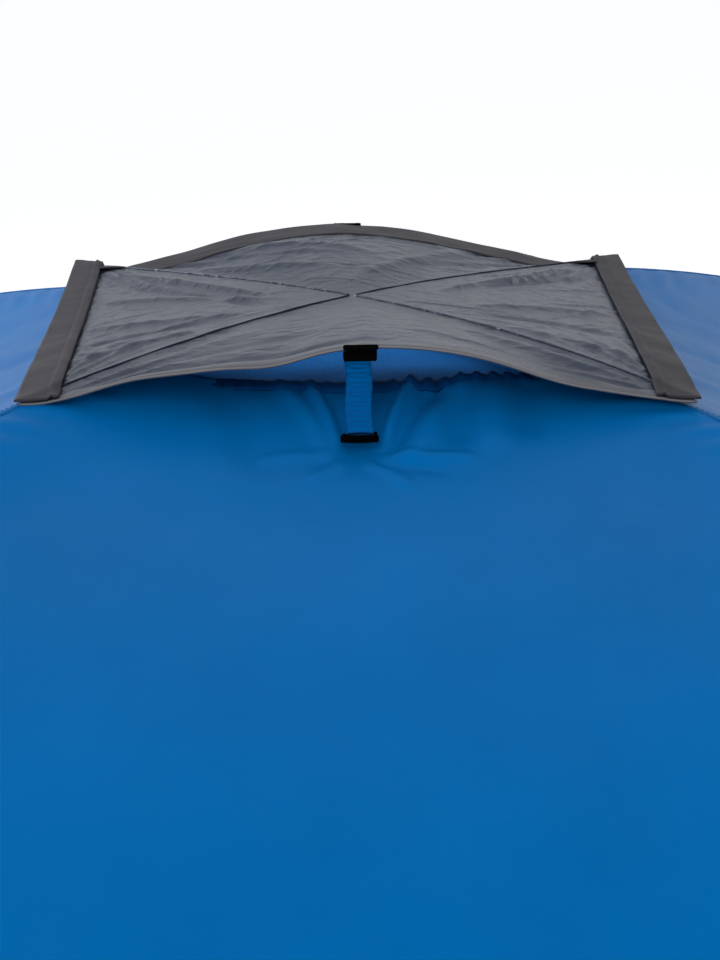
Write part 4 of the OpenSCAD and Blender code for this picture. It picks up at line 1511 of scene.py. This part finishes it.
def zip_teeth(name, side, body, node):
    """Turns of the nylon coil on one half, as rounded teeth that reach over the middle."""
    line = door_outline(0.0018)
    points, faces = [], []
    for i, (x, z, nx, nz) in enumerate(line):
        if i % 2 == (0 if side > 0 else 1):
            continue
        tx, tz = -nz * TOOTH_HALF, nx * TOOTH_HALF
        base = len(points)
        for offset, *lifts in TOOTH:
            mid_x, mid_z = x + side * nx * offset, z + side * nz * offset
            for lift in lifts:
                for k in (-1, 1):
                    points.append(on_door(mid_x + k * tx, mid_z + k * tz, lift))
        for s in range(3):
            q, w = base + 4 * s, base + 4 * (s + 1)
            faces += [(q, q + 1, w + 1, w), (q + 2, w + 2, w + 3, q + 3),
                      (q, w, w + 2, q + 2), (q + 1, q + 3, w + 3, w + 1)]
        faces += [(base, base + 2, base + 3, base + 1), (base + 12, base + 13, base + 15, base + 14)]
    fixed(new_piece(name, points, faces, "zip"), body, node)


ZIP_EDGE = ((0.0120, 0.0004), (0.0115, 0.0010), (0.0050, 0.0011), (0.0012, 0.0008))
ZIP_SEAM = 0.0095
# Name, side of the middle line, body, and ending of the CAD nodes.
ZIP_HALVES = (("outer", 1, "tent", "body"), ("inner", -1, "door", "door"))


def door_zip():
    for name, sgn, body, part in ZIP_HALVES:
        offsets = [(sgn * offset, lift) for offset, lift in ZIP_EDGE][::sgn]
        zip_ribbon("zip_tape_" + name, offsets, body, "zip_tape_" + part)
    for name, sgn, body, part in ZIP_HALVES:
        zip_teeth("zip_teeth_" + name, sgn, body, "zip_coil_" + part)
    line = door_outline()
    for name, sgn, body, part in ZIP_HALVES:
        offset = sgn * ZIP_SEAM
        path = [on_door(x + nx * offset, z + nz * offset, 0.0012) for x, z, nx, nz in line]
        tilts = [normal_on_side(angle_at_height(z)) for x, z, nx, nz in line]
        normals = [Vector((0, -tilt.y, tilt.z)) for tilt in tilts]
        stitch_line("zip_stitches_" + name, path, normals, "thread_dark", body, 0.004, 0.0007)


door_zip()


# ---- Corners ----
def corner_stitches():
    """Box stitches that hold each corner strap to the tub."""
    for index, heading in enumerate((45, 135, 225, 315)):
        outer, inner, half = FOOT + 0.036, FOOT + 0.008, 0.0095
        box = [Vector((inner, -half, 0)), Vector((outer, -half, 0)), Vector((outer, half, 0)),
               Vector((inner, half, 0)), Vector((inner, -half, 0)), Vector((outer, half, 0)),
               Vector((outer, -half, 0)), Vector((inner, half, 0))]
        path = [turned(p + Vector((0, 0, 0.00165)), heading) for p in box]
        stitch_line("corner_stitches_%d" % index, path, [UP] * 7, "thread_pale", "tent",
                    0.0030, 0.0006)


corner_stitches()

# ---- CAD parts that keep their shape ----
CARRIED = {
    "webbing": ("corner_webbing", "crossing_tie", "lantern_loop"),
    "plastic": ("lantern_ring",),
    "fibre": ("lower_pole_rods", "upper_pole_rods"),
    "steel": ("lower_pole_ferrules", "upper_pole_ferrules", "lower_pole_tips", "upper_pole_tips",
              "pole_eyelets", "peg_eyelets"),
    "elastic": ("lower_shock_cord", "upper_shock_cord"),
    "seam": ("ridge_tapes",),
    "stiffener": ("strut_stiffener_front", "strut_stiffener_rear"),
    "zip_metal": ("zip_slider", "zip_puller"),
}
for paint_name, node_names in CARRIED.items():
    for node_name in node_names:
        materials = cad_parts[node_name].data.materials
        materials.clear()
        materials.append(PAINT[paint_name])
